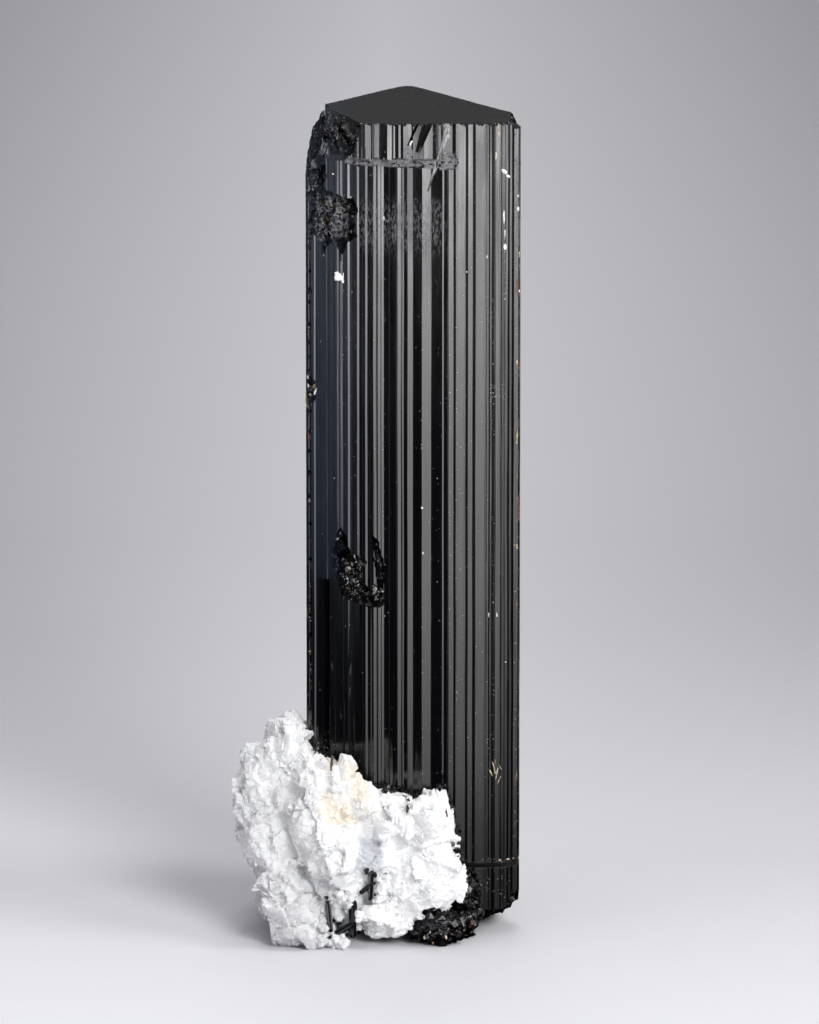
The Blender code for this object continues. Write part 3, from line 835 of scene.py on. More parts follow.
def paint_tourmaline(nodes):
    looks = bpy.context.scene.tourmaline_look
    place, x, y, z = axis_place(nodes)
    facing = nodes.parts(nodes.add("ShaderNodeNewGeometry")["True Normal"])[2]
    upright = nodes.from_to(nodes.maths("ABSOLUTE", facing), 0.75, 0.35)

    smear = nodes.noise(place, (2.2, 2.2, 14.0), 4.0)
    dust = nodes.from_to(nodes.noise(place, (0.5, 0.5, 2.6), 5.0), 0.66, 0.80)
    stain = nodes.noise(place, (1.2, 1.2, 3.2), 3.0)
    at_edge = nodes.from_to(nodes.maths("ABSOLUTE", x), 13.1, 13.7)
    rust = nodes.from_to(stain, 0.60, 0.68) * at_edge * nodes.from_to(y, -6.0, -8.0)
    # Painted reflection: left of the front and above about 48 mm, the faces are painted with a blue
    # sheen
    left = nodes.from_to(x, -8.0, -11.0) * nodes.from_to(z, 46.0, 49.0)
    colour = nodes.blend(left, look(*looks.colour), look(*looks.painted_sheen_colour))
    haze = nodes.from_to(z, 60.0, 96.0) * nodes.from_to(smear, 0.30, 0.62) * upright
    haze = haze * nodes.from_to(y, -6.0, -8.0)

    def mark(middle, half, low, high):
        """A rectangle with soft edges."""
        beside = nodes.maths("ABSOLUTE", x - middle)
        rows = nodes.within(z, low - 0.15, low + 0.15, high - 0.15, high + 0.15)
        return nodes.from_to(beside, half + 0.12, half - 0.12) * rows

    # Partly rubbing and partly a painted highlight where the ledge under the seam catches light
    scuffed_and_highlit = mark(*LEDGE_SCUFF_AND_HIGHLIGHT[0])
    for part in LEDGE_SCUFF_AND_HIGHLIGHT[1:]:
        scuffed_and_highlit = nodes.maths("MAXIMUM", scuffed_and_highlit, mark(*part))
    # Painted highlight: the grey blade of the dagger and its hilt
    across, top, slant = DAGGER_BLADE
    beside = nodes.maths("ABSOLUTE", x - (z - top) * slant - across)
    painted_dagger_highlight = nodes.from_to(beside, 0.30, 0.16) * nodes.within(z, *DAGGER_ROWS)
    painted_dagger_highlight = nodes.maths("MAXIMUM", painted_dagger_highlight, mark(*DAGGER_HILT))
    crack = mark(*CRACK_FLOOR)
    rubbed = patch(nodes, x, z, RUBBED_PATCH)
    scuff_and_highlight = nodes.from_to(nodes.noise(place, (0.25, 0.25, 0.7), 4.0), 0.42, 0.66)
    pit = patch(nodes, x, z, SPARKLING_PIT)
    front = nodes.from_to(y, -5.0, -7.5)
    # Painted highlight: sparkling grey flecks in the pit
    painted_sparkle = nodes.from_to(nodes.noise(place, (0.45, 0.45, 0.5), 2.0), 0.49, 0.57)
    scuff_and_highlight = nodes.maths("MAXIMUM", scuff_and_highlight * rubbed * 0.6, painted_sparkle * pit)
    ledge = scuffed_and_highlit * nodes.from_to(nodes.noise(place, (0.8, 0.8, 0.4), 3.0), 0.36, 0.52)
    scuff_and_highlight = nodes.maths("MAXIMUM", scuff_and_highlight, ledge) * front
    colour = nodes.blend(dust * 0.10 + haze * 0.03, colour, look(0.30, 0.30, 0.30))
    # Rubbing, plus painted highlights on the ledge and in the pit, all painted grey
    colour = nodes.blend(scuff_and_highlight * 0.55, colour, look(0.34, 0.34, 0.35))
    colour = nodes.blend(painted_dagger_highlight * front * upright * 0.7, colour, look(0.36, 0.37, 0.38))
    colour = nodes.blend(rust, colour, look(*looks.rust_colour))

    ribs = nodes.noise(place, (0.30, 0.30, 14.0), 3.0) * 0.026
    hairlines = nodes.noise(place, (0.085, 0.085, 7.0), 1.0) * 0.003
    skin = nodes.noise(place, (0.55, 0.55, 0.8), 3.0) * 0.0012
    pits = nodes.from_to(nodes.cells(place, 0.8), 0.07, 0.0) * -0.01
    height = (ribs + hairlines) * upright + skin + pits
    roughness = looks.roughness + smear * 0.06 + dust * 0.25 + (1.0 - upright) * 0.14 + rust * 0.3
    roughness = roughness + haze * 0.14 + scuff_and_highlight * 0.35 + crack * front * 0.7
    return {
        "Base Color": colour,
        "Roughness": roughness,
        "Normal": nodes.bump(height),
        "IOR": TOURMALINE_IOR,
    }


def paint_crust(nodes):
    looks = bpy.context.scene.tourmaline_look
    place = axis_place(nodes)[0]
    stain = nodes.from_to(nodes.noise(place, (0.9, 0.9, 0.9), 3.0), 0.62, 0.72)
    colour = nodes.blend(stain * 0.55, look(*looks.colour), look(*looks.rust_colour))
    normal = nodes.bump(nodes.noise(place, (0.16, 0.16, 0.3), 3.0) * 0.03)
    roughness = 0.14 + nodes.noise(place, (0.5, 0.5, 0.5), 2.0) * 0.16 + stain * 0.25
    values = {"Base Color": colour, "Roughness": roughness, "Normal": normal}
    return {**values, "IOR": TOURMALINE_IOR}


def paint_albite(nodes):
    looks = bpy.context.scene.albite_look
    place, x, y, z = axis_place(nodes)
    broad = nodes.noise(place, (3.2, 3.2, 3.2), 4.0)
    fine = nodes.noise(place, (0.55, 0.55, 0.55), 3.0)
    cream = patch(nodes, x, z, CREAM_PATCH) * nodes.from_to(broad, 0.38, 0.58)
    left_cream = nodes.from_to(broad, 0.60, 0.72) * nodes.from_to(x, -11.0, -16.0) * 0.6
    grey = patch(nodes, x, z, GREY_PATCH)
    specks = nodes.from_to(nodes.cells(place, 1.1), 0.075, 0.03)
    colour = nodes.blend(fine * 0.16, look(*looks.colour), look(0.80, 0.82, 0.86))
    # Painted shade: the left side and the low left of the albite are painted greyer, shaded from the
    # light at the right
    shade = nodes.from_to(x, -8.5, -17.0) * 0.55
    low = nodes.from_to(z, 15.0, 6.0) * nodes.from_to(x, -6.0, -12.0) * 0.9
    colour = nodes.blend(nodes.maths("MAXIMUM", shade, low), colour, look(0.68, 0.68, 0.69))
    colour = nodes.blend(cream * 0.75, colour, look(*looks.cream_colour))
    colour = nodes.blend(left_cream * 0.55, colour, look(0.88, 0.85, 0.78))
    colour = nodes.blend(grey * fine, colour, look(0.36, 0.39, 0.44))
    colour = nodes.blend(specks * 0.6, colour, look(0.42, 0.34, 0.22))
    height = nodes.noise(place, (0.22, 0.22, 0.22), 2.0) * 0.02
    return {
        "Base Color": colour,
        "Roughness": 0.30 + fine * 0.3,
        "Normal": nodes.bump(height, 0.8),
        "IOR": ALBITE_IOR,
        "Subsurface Weight": 0.4,
        "Subsurface Radius": (1.0, 0.95, 0.9),
        "Subsurface Scale": 0.6 * MM,
    }


def paint_flake(nodes):
    place = axis_place(nodes)[0]
    tone = nodes.noise(place, (0.4, 0.4, 0.8), 3.0)
    colour = nodes.blend(tone, look(0.90, 0.90, 0.88), look(0.72, 0.70, 0.66))
    return {"Base Color": colour, "Roughness": 0.3 + tone * 0.2, "IOR": ALBITE_IOR}


# Dust specks, and pale specks along the rim that are painted highlight
def paint_dust_and_highlights(nodes):
    place = axis_place(nodes)[0]
    tone = nodes.noise(place, (1.4, 1.4, 4.0), 2.0)
    share = nodes.from_to(tone, 0.3, 0.7)
    colour = nodes.blend(share, look(0.16, 0.16, 0.16), look(0.70, 0.70, 0.68))
    return {"Base Color": colour, "Roughness": 0.6, "IOR": ALBITE_IOR}


def paint_gold(nodes):
    place = axis_place(nodes)[0]
    tone = nodes.from_to(nodes.noise(place, (0.3, 0.3, 0.9), 3.0), 0.35, 0.65)
    colour = nodes.blend(tone, look(0.80, 0.72, 0.55), look(0.28, 0.17, 0.07))
    return {"Base Color": colour, "Roughness": 0.22 + tone * 0.25, "IOR": FLAKE_IOR}


def paint_glint(nodes):
    place = axis_place(nodes)[0]
    tone = nodes.noise(place, (1.1, 1.1, 1.1), 2.0)
    share = nodes.from_to(tone, 0.45, 0.70)
    colour = nodes.blend(share, look(0.20, 0.195, 0.19), look(0.17, 0.11, 0.065))
    values = {"Base Color": colour, "Roughness": 0.16 + tone * 0.2, "Metallic": 0.35}
    return {**values, "IOR": TOURMALINE_IOR}


def paint_brown(nodes):
    place, _, _, z = axis_place(nodes)
    tone = nodes.from_to(nodes.noise(place, (0.12, 0.12, 1.2), 3.0), 0.35, 0.7)
    colour = nodes.blend(tone, look(0.010, 0.006, 0.004), look(0.16, 0.07, 0.03))
    return {"Base Color": colour, "Roughness": 0.2 + tone * 0.2, "IOR": TOURMALINE_IOR}


def tourmaline():
    return material_named("black tourmaline", paint_tourmaline)


def crust():
    return material_named("black crust", paint_crust)


def albite():
    return material_named("white albite", paint_albite)


def even_points(count, scatter):
    """Points spread evenly over a ball of radius 1, from its top down, each a little astray."""
    for i in range(count):
        height = 1 - 2 * (i + 0.5) / count
        turn = i * math.pi * (3 - math.sqrt(5)) + scatter.uniform(-0.35, 0.35)
        ring = math.sqrt(1 - height * height)
        yield Vector((ring * math.cos(turn), ring * math.sin(turn), height))


def add_hull(bm, corners):
    """Adds the convex body round these points."""
    made = [bm.verts.new(corner) for corner in corners]
    hull = bmesh.ops.convex_hull(bm, input=made)
    inside = [v for v in hull["geom_interior"] if isinstance(v, bmesh.types.BMVert)]
    bmesh.ops.delete(bm, geom=inside, context="VERTS")


def hull_object(name, corners):
    """The convex body round these points, as an object."""
    bm = bmesh.new()
    add_hull(bm, corners)
    return closed_object(name, bm)


def stone(name, lump, cuts=0, relief=0.0):
    """A convex stone with flat faces, whose faces may be split further and rippled."""
    centre, half_sizes, corners = lump
    scatter = random.Random(name)
    bm = bmesh.new()
    points = []
    for on_ball in even_points(corners, scatter):
        reach = scatter.uniform(0.86, 1.06)
        sides = Vector([reach * half for half in half_sizes])
        points.append(spot(*(Vector(centre) + on_ball * sides)))
    add_hull(bm, points)
    bmesh.ops.recalc_face_normals(bm, faces=bm.faces[:])
    if cuts:
        bmesh.ops.subdivide_edges(bm, edges=bm.edges[:], cuts=cuts, use_grid_fill=True)
        bmesh.ops.triangulate(bm, faces=bm.faces[:])
        bm.normal_update()
        broad, fine = RIPPLE_SIZES
        for vert in bm.verts:
            wave = noise.fractal(vert.co / (broad * MM), 0.6, 2.0, 4)
            ripple = noise.noise(vert.co / (fine * MM))
            vert.co += vert.normal * relief * (wave + 0.35 * ripple)
    return new_object(name, mesh_from(name, bm))


def add_stone(bm, name, lump):
    """Adds a stone's faces to a mesh that is being put together."""
    lumpy = stone(name, lump)
    bm.from_mesh(lumpy.data)
    bpy.data.objects.remove(lumpy)


def melted(obj, voxel):
    """Rebuilds the object as one closed skin of faces this large."""
    melt = obj.modifiers.new("melt", "REMESH")
    melt.mode = "VOXEL"
    melt.voxel_size = voxel
    return settled(obj)


def carve(obj, operation, others):
    """Adds a Boolean with every object of a collection."""
    modifier = obj.modifiers.new(others.name, "BOOLEAN")
    modifier.operation = operation
    modifier.operand_type = "COLLECTION"
    modifier.collection = others
    modifier.solver = "MANIFOLD"


def gathered(name, objects):
    """A collection that only a Boolean reads, out of the scene."""
    made = bpy.data.collections.new(name)
    for obj in objects:
        made.objects.link(obj)
        bpy.context.scene.collection.objects.unlink(obj)
    return made


def discard(collection):
    for obj in list(collection.objects):
        bpy.data.objects.remove(obj)
    bpy.data.collections.remove(collection)


def block(name, corners):
    """A rectangular cutter between its lowest and its highest corner."""
    low, high = (spot(*corner) for corner in corners)
    bm = bmesh.new()
    size = Matrix.Diagonal((*(high - low), 1.0))
    bmesh.ops.create_cube(bm, size=1.0, matrix=Matrix.Translation((low + high) / 2) @ size)
    return new_object(name, mesh_from(name, bm))


def wedge(name, strip):
    """A cutter for a strip of the front, whose back is turned to the right."""
    (left, low), (right, high), (left_back, right_back) = strip
    corners = []
    for height in (low, high):
        corners += [spot(left, left_back, height), spot(right, right_back, height)]
        corners += [spot(left, WEDGE_FRONT, height), spot(right, WEDGE_FRONT, height)]
    return hull_object(name, corners)


def front_points(start, bands, lower=False):
    """The corners between the bands of a front face, from left to right."""
    x, y = start
    unevenness = random.Random(BAND_SEED)
    points = [Vector((x, y))]
    for width, *facings in bands:
        facing = facings[-1] if lower else facings[0]
        facing += unevenness.uniform(-1, 1) * BAND_UNEVENNESS
        x += width
        y += width * math.tan(math.radians(facing))
        points.append(Vector((x, y)))
    return points


def rounded(corners):
    """An open line with every corner cut off."""
    cut = [corners[0]]
    for a, b in zip(corners, corners[1:]):
        cut += [a.lerp(b, CORNER_CUT), b.lerp(a, CORNER_CUT)]
    return [*cut, corners[-1]]


def along(line, distance):
    """The point of a line that far from its start, and the way out of the crystal there."""
    for a, b in zip(line, line[1:]):
        length = (b - a).length
        if distance <= length or b is line[-1]:
            way = (b - a).normalized()
            return a + way * distance, Vector((way.y, -way.x))
        distance -= length


def back_points(start, end):
    """The ribbed back faces, from the right end of the front round to its left end."""
    line = rounded([start, *map(Vector, BACK_CORNERS), end])
    length = sum((b - a).length for a, b in zip(line, line[1:]))
    ribs = random.Random(BACK_SEED)
    points = []
    at = ribs.uniform(*BACK_RIB)
    while True:
        groove = ribs.uniform(*BACK_GROOVE)
        depth = ribs.uniform(*BACK_GROOVE_DEPTH)
        deepest = ribs.uniform(0.2, 0.8)
        if at + groove + BACK_RIB[0] > length:
            return points
        for share, offset in ((0, 0), (deepest, depth), (1, 0)):
            point, outward = along(line, at + share * groove)
            points.append(point - outward * offset)
        at += groove + ribs.uniform(*BACK_RIB)


def profile(name, start, bands, back=None):
    """The cross-section as a loop of edges. Each point also knows how far it shifts low down."""
    upper = front_points(start, bands)
    lower = front_points(start, bands, lower=True)
    drift = upper[-1] - lower[-1]
    shifts = [b + drift * i / (len(lower) - 1) - a for i, (a, b) in enumerate(zip(upper, lower))]
    points = upper + ([*map(Vector, back)] if back else back_points(upper[-1], upper[0]))
    mesh = bpy.data.meshes.new(name)
    edges = [(i, (i + 1) % len(points)) for i in range(len(points))]
    mesh.from_pydata([spot(x, y, 0) for x, y in points], edges, [])
    stored = mesh.attributes.new("lower_shift", "FLOAT_VECTOR", "POINT")
    for i, shift in enumerate(shifts):
        stored.data[i].vector = (shift.x * MM, shift.y * MM, 0.0)
    return new_object(name, mesh)


def prism_tree():
    """Carries a cross-section up a line and lets its ribs wander a little on the way."""
    tree, nodes, given = geometry_tree(
        "Ribbed Prism",
        (
            ("Bottom", "Float", 0.0),
            ("Top", "Float", 0.1),
            ("Rows", "Int", 100),
            ("Wander", "Float", 0.1 * MM),
            ("Change Starts", "Float", LINES_DIE_OUT[0] * MM),
            ("Change Ends", "Float", LINES_DIE_OUT[1] * MM),
            ("Material", "Material", None),
        ),
    )
    section = nodes.add("GeometryNodeMeshToCurve", {}, {"Mesh": given["Geometry"]})["Curve"]
    start, end = (
        nodes.add("ShaderNodeCombineXYZ", {}, {"Z": given[name]})["Vector"]
        for name in ("Bottom", "Top")
    )
    line = nodes.add("GeometryNodeCurvePrimitiveLine", {}, {"Start": start, "End": end})
    rows = nodes.add(
        "GeometryNodeResampleCurve", {}, {"Curve": line["Curve"], "Count": given["Rows"]}
    )
    values = {"Curve": rows["Curve"], "Profile Curve": section, "Fill Caps": True}
    swept = nodes.add("GeometryNodeCurveToMesh", {}, values)["Mesh"]

    place = nodes.add("GeometryNodeInputPosition")["Position"]
    height = nodes.parts(place)[2]
    stored = {"data_type": "FLOAT_VECTOR"}
    shift = nodes.add("GeometryNodeInputNamedAttribute", stored, {"Name": "lower_shift"})
    share = nodes.from_to(height, given["Change Starts"], given["Change Ends"])
    lowered = nodes.scaled(shift["Attribute"], share)
    strays = []
    for lengths, shares in (BROAD_WAVES, FINE_WAVES):
        wave = nodes.noise(place, lengths, 1.0, "Color")
        wave = nodes.vectors("SUBTRACT", wave, MIDDLE_GREY)
        strays.append(nodes.vectors("MULTIPLY", wave, shares))
    stray = nodes.vectors("ADD", *strays)
    offset = nodes.vectors("ADD", lowered, nodes.scaled(stray, given["Wander"]))
    finish_tree(nodes, nodes.moved(swept, offset), given)
    return tree


def chips():
    """Small stones along the side edges and along the front of the end face."""
    sizes = random.Random(CHIP_SEED)
    made = []
    for number, (where, spacing, half_size, depth) in enumerate(CHIPPED_EDGES):
        height = CHIPS_BETWEEN[0] + sizes.uniform(*spacing)
        while height < CHIPS_BETWEEN[1]:
            half = sizes.uniform(*half_size)
            out = math.copysign(half * sizes.uniform(0.15, 0.6), where[0])
            centre = (where[0] + out, where[1] + sizes.uniform(-1, 1) * depth * 0.4, height)
            sides = (half, depth * sizes.uniform(0.6, 1.2), half * sizes.uniform(0.9, 2.6))
            made.append(stone(f"chip_{number}_{len(made)}", (centre, sides, 18)))
            height += sizes.uniform(*spacing)
    for height, (start, bands), least, most, count in CHIP_ROWS:
        line = front_points(start, bands)
        for i in range(count):
            across = least + (most - least) * (i + sizes.uniform(0.1, 0.9)) / count
            half = sizes.uniform(*RIM_CHIP_SIZE)
            centre = (across, surface_of(line, across) + 0.04, height + sizes.uniform(-0.1, 0.12))
            sides = (half * sizes.uniform(0.9, 2.0), half, half * sizes.uniform(0.7, 1.3))
            made.append(stone(f"rim_chip_{len(made)}", (centre, sides, 12)))
    return made


def surface_of(line, across):
    """How far forward a front line is at this place across."""
    return float(np.interp(across, [point.x for point in line], [point.y for point in line]))


def picture_place(across, down, depth):
    """The place across and the height that a pixel shows on a plane this far behind the front."""
    x = (across - CRYSTAL_PIXEL) * PIXEL
    z = ((FLOOR_PIXEL - down) * PIXEL - (depth - FLOOR_DEPTH) * SLOPE) / RISE
    return x, z


def inside_by(places, corners):
    """How far each place is inside a polygon, negative outside it."""
    nearest = np.full(len(places), 1e9)
    inside = np.zeros(len(places), dtype=bool)
    for a, b in zip(corners, corners[1:] + corners[:1]):
        a, b = np.array(a), np.array(b)
        side = b - a
        share = np.clip((places - a) @ side / (side @ side), 0, 1)
        nearest = np.minimum(nearest, np.linalg.norm(places - a - share[:, None] * side, axis=1))
        crosses = (a[1] > places[:, 1]) != (b[1] > places[:, 1])
        with np.errstate(divide="ignore", invalid="ignore"):
            at = a[0] + (places[:, 1] - a[1]) / (b[1] - a[1]) * side[0]
        inside ^= crosses & (places[:, 0] < at)
    return np.where(inside, nearest, -nearest)


def facets(places, size, tilt, seed):
    """Heights of a surface broken into small flat faces that lean every way."""
    draw = np.random.default_rng(seed)
    low, high = places.min(axis=0) - size, places.max(axis=0) + size
    count = int(np.prod((high - low) / size))
    seeds = draw.uniform(low, high, (count, 2))
    leans = draw.uniform(-tilt, tilt, (count, 2))
    steps = draw.uniform(-0.4, 0.4, count) * size * tilt
    away = places[:, None, :] - seeds[None, :, :]
    stretched = away * np.array([1.0, 0.6])
    near = np.argmin((stretched**2).sum(axis=2), axis=1)
    rows = np.arange(len(places))
    return (away[rows, near] * leans[near]).sum(axis=1) + steps[near]


def fracture(name, corners, depth, facet, tilt, seed, shape=None):
    """A cutter whose back is a broken surface, for the front of the prism inside a polygon."""
    front = front_points(FRONT_START, FRONT_BANDS)
    line_x, line_y = [point.x for point in front], [point.y for point in front]
    low, high = np.min(corners, axis=0) - 0.5, np.max(corners, axis=0) + 0.5
    step = FRACTURE_STEP
    across = np.arange(low[0], high[0], step)
    up = np.arange(low[1], high[1], step)
    grid = np.stack(np.meshgrid(across, up, indexing="ij"), axis=-1).reshape(-1, 2)
    edge = np.array([noise.noise(Vector((x, z, seed)) / 0.9) for x, z in grid])
    inside = inside_by(grid, corners) + 0.25 * edge
    skin = np.interp(grid[:, 0], line_x, line_y)
    floor = facets(grid, facet, tilt, seed) + facets(grid, facet * 0.4, tilt * 0.3, seed + 1)
    ripple = np.array([noise.noise(Vector((x, z, 5.0)) / 0.35) for x, z in grid]) * 0.03
    if shape is None:
        bed = skin + np.minimum(depth, inside * 1.6)
        bed = np.maximum(bed + (floor + ripple) * np.clip(inside * 2, 0, 1), skin + 0.02)
    else:
        bed = shape(grid, skin) + floor + ripple
    y = np.where(inside > 0, bed, skin - FRACTURE_CLEAR)
    count_x, count_z = len(across), len(up)
    bm = bmesh.new()
    sheet = [bm.verts.new(spot(x, out, z)) for (x, z), out in zip(grid, y)]
    far = [bm.verts.new(spot(x, FRACTURE_FRONT, z)) for x, z in grid]

    def patch(verts, i, j, turned):
        a, b = verts[i * count_z + j], verts[(i + 1) * count_z + j]
        c, d = verts[(i + 1) * count_z + j + 1], verts[i * count_z + j + 1]
        for face in ((a, b, c), (a, c, d)):
            bm.faces.new(face[::-1] if turned else face)

    for i in range(count_x - 1):
        for j in range(count_z - 1):
            patch(sheet, i, j, True)
            patch(far, i, j, False)
    rim = [(i, 0) for i in range(count_x)] + [(count_x - 1, j) for j in range(1, count_z)]
    rim += [(i, count_z - 1) for i in range(count_x - 2, -1, -1)]
    rim += [(0, j) for j in range(count_z - 2, 0, -1)]
    order = [i * count_z + j for i, j in rim]
    for a, b in zip(order, order[1:] + order[:1]):
        bm.faces.new((sheet[a], sheet[b], far[b], far[a]))
    return closed_object(name, bm)


def corner_bed(grid, skin):
    """The broken corner at the top left: how far back it goes at each height."""
    heights, edges = zip(*CORNER_EDGE)
    left = np.interp(grid[:, 1], heights, edges)
    share = (grid[:, 0] - left) / (CORNER_END[0] - left)
    chord = CORNER_BACK + share * (CORNER_END[1] - CORNER_BACK)
    chord += CORNER_HOLLOW * np.clip(share * (1 - share) * 4, 0, 1)
    heights, shares = zip(*CORNER_SHARE)
    return skin + (chord - skin) * np.interp(grid[:, 1], heights, shares)


def slash(name, cut):
    """A thin cutter that leaves a slanting groove, whose floor may be deeper at one side."""
    across, height, length, width, slant, left, right = cut
    start, bands = (CAP_START, CAP_BANDS) if height > SEAM_HEIGHT else (FRONT_START, FRONT_BANDS)
    face = surface_of(front_points(start, bands), across)
    turn = Matrix.Rotation(math.radians(slant), 3, "Y")
    corners = []
    for end, share in ((-0.5, 0.4), (0.5, 1.0)):
        for side, out in ((-0.6, -0.9), (0.6, -0.9), (-0.5, left), (0.5, right)):
            flat = turn @ Vector((side * width * share, 0.0, end * length))
            corners.append(spot(across + flat.x, face + out, height + flat.z))
    return hull_object(name, corners)


def prism_breaks(relief):
    """Every cutter for the prism: broken places, the crack, pits, slanting cuts and chips."""
    breaks = []
    for prefix, lumps, cuts in BROKEN_PLACES:
        for i, lump in enumerate(lumps):
            breaks.append(stone(f"{prefix}_break_{i}", lump, cuts, relief))
    breaks.append(wedge("pale_band_end", PALE_BAND_END))
    (left, front, low), (right, back, high) = LOWER_CRACK
    side, face = LOWER_CRACK_FLOOR
    breaks.append(block("crack_front", ((left, front, low), (right, face, high))))
    breaks.append(block("crack_side", ((side, face - CRACK_OVERLAP, low), (right, back, high))))
    for name, (outline, *values) in FRACTURES.items():
        corners = [picture_place(*pixel, FACE_DEPTH) for pixel in outline]
        breaks.append(fracture(name, corners, *values))
    breaks.append(fracture("top_corner", CORNER_OUTLINE, 0, *CORNER_FACETS, corner_bed))
    breaks += [slash(f"slash_{i}", cut) for i, cut in enumerate(SLASHES)]
    return breaks + chips()


def build_prism(looks):
    """The ribbed prism with its cap, its breaks and its chips."""
    bottom, top = CRYSTAL_BREAK * MM, CAD_HIGH.z
    tree = prism_tree()
    rows = round((top - bottom) / looks.row_height)
    sizes = {"Wander": looks.wander, "Material": tourmaline()}
    body = profile("tourmaline_prism", FRONT_START, FRONT_BANDS)
    run_tree(body, tree, {"Bottom": bottom, "Top": top, "Rows": rows, **sizes})
    cap = profile("cap", CAP_START, CAP_BANDS, CAP_BACK)
    ends = {"Bottom": (SEAM_HEIGHT - CAP_OVERLAP) * MM, "Top": top, "Rows": CAP_ROWS}
    run_tree(cap, tree, {**ends, **sizes})
    room = gathered("cap_room", [block("cap_room", CAP_ROOM)])
    joined = gathered("crystal_cap", [cap])
    cutters = gathered("crystal_breaks", prism_breaks(looks.break_relief))
    carve(body, "DIFFERENCE", room)
    carve(body, "UNION", joined)
    carve(body, "DIFFERENCE", cutters)
    settled(body)
    for others in (room, joined, cutters):
        discard(others)
    if len(body.data.polygons) < LEAST_FACES:
        raise RuntimeError("the prism's cuts have left nothing of it")
    body.data.materials.clear()
    body.data.materials.append(tourmaline())
    body.data.shade_smooth()
    body.data.set_sharp_from_angle(angle=math.radians(RIB_ANGLE))
    return body


def scatter_tree():
    """Scatters stones over the faces of a mesh, where its cover attribute says so."""
    tree, nodes, given = geometry_tree(
        "Scattered Stones",
        (
            ("Stones", "Collection", None),
            ("Density", "Float", 1e6),
            ("Spacing", "Float", 0.5 * MM),
            ("Least Size", "Float", 0.1 * MM),
            ("Most Size", "Float", 0.4 * MM),
            ("Sink", "Float", 0.0),
            ("Seed", "Int", 1),
            ("Material", "Material", None),
        ),
    )
    cover = nodes.add("GeometryNodeInputNamedAttribute", {"data_type": "FLOAT"}, {"Name": "cover"})
    values = {
        "Mesh": given["Geometry"],
        "Distance Min": given["Spacing"],
        "Density Max": given["Density"],
        "Density Factor": cover["Attribute"],
        "Seed": given["Seed"],
    }
    settings = {"distribute_method": "POISSON"}
    spread = nodes.add("GeometryNodeDistributePointsOnFaces", settings, values)
    points = nodes.moved(spread["Points"], nodes.scaled(spread["Normal"], -given["Sink"]))
    shapes = {"Collection": given["Stones"], "Separate Children": True, "Reset Children": True}
    stones = nodes.add("GeometryNodeCollectionInfo", {}, shapes)["Instances"]
    turned = nodes.add(
        "FunctionNodeRandomValue",
        {"data_type": "FLOAT_VECTOR"},
        {0: (0.0, 0.0, 0.0), 1: (math.tau, math.tau, math.tau), "Seed": given["Seed"]},
    )[0]
    values = {2: 0.0, 3: 1.0, "Seed": 7}
    bigness = nodes.add("FunctionNodeRandomValue", {"data_type": "FLOAT"}, values)[1]
    size = given["Least Size"] + (given["Most Size"] - given["Least Size"]) * bigness * bigness
    pick = nodes.add("FunctionNodeRandomValue", {"data_type": "INT"}, {4: 0, 5: 97, "Seed": 3})[2]
    values = {
        "Points": points,
        "Instance": stones,
        "Pick Instance": True,
        "Instance Index": pick,
        "Rotation": turned,
        "Scale": size,
    }
    placed = nodes.add("GeometryNodeInstanceOnPoints", {}, values)["Instances"]
    finish_tree(nodes, placed, given)
    return tree


def the_scatter_tree():
    return bpy.data.node_groups.get("Scattered Stones") or scatter_tree()


def stone_shapes(name, kinds, corners):
    """A collection of small stones of radius one metre, which the scatter scales down."""
    made = []
    for kind in range(kinds):
        scatter = random.Random(f"{name}_{kind}")
        points = []
        for on_ball in even_points(corners, scatter):
            reach = scatter.uniform(0.75, 1.1)
            on_ball.y *= scatter.uniform(0.9, 1.1)
            points.append(on_ball * reach)
        made.append(hull_object(f"{name}_{kind}", points))
    return gathered(name, made)


def crystal_shapes(name, kinds):
    """Blocky little crystals: leaning boxes with one corner cut off, which the scatter scales down."""
    made = []
    for kind in range(kinds):
        scatter = random.Random(f"{name}_{kind}")
        leans = [scatter.uniform(-0.3, 0.3) for _ in range(2)]
        slant = Matrix(((1, leans[0], 0), (0, 1, leans[1]), (0, 0, 1)))
        sides = Vector((1.0, scatter.uniform(0.6, 0.95), scatter.uniform(0.45, 0.8)))
        signs = [(x, y, z) for x in (-1, 1) for y in (-1, 1) for z in (-1, 1)]
        corners = [slant @ Vector((x * sides.x, y * sides.y, z * sides.z)) for x, y, z in signs]
        last = corners.pop()
        corners += [last.lerp(corners[i], scatter.uniform(0.3, 0.5)) for i in (3, 5, 6)]
        made.append(hull_object(f"{name}_{kind}", [corner * GRAIN_REACH for corner in corners]))
    return gathered(name, made)


def paint_cover(obj, rule):
    """Stores how thickly each vertex is covered, by a rule on its place and its normal."""
    stored = obj.data.attributes.new("cover", "FLOAT", "POINT")
    covers = [rule(from_axis(v.co), v.normal) for v in obj.data.vertices]
    stored.data.foreach_set("value", covers)


def copy_of(obj, name):
    """A second object with its own copy of the mesh."""
    return new_object(name, obj.data.copy())


def scattered(name, source, rule, shapes, values):
    """A new piece: stones scattered over the source, as plain faces."""
    piece = copy_of(source, name)
    paint_cover(piece, rule)
    run_tree(piece, the_scatter_tree(), {"Stones": shapes, **values})
    piece.data.shade_flat()
    discard(shapes)
    return piece


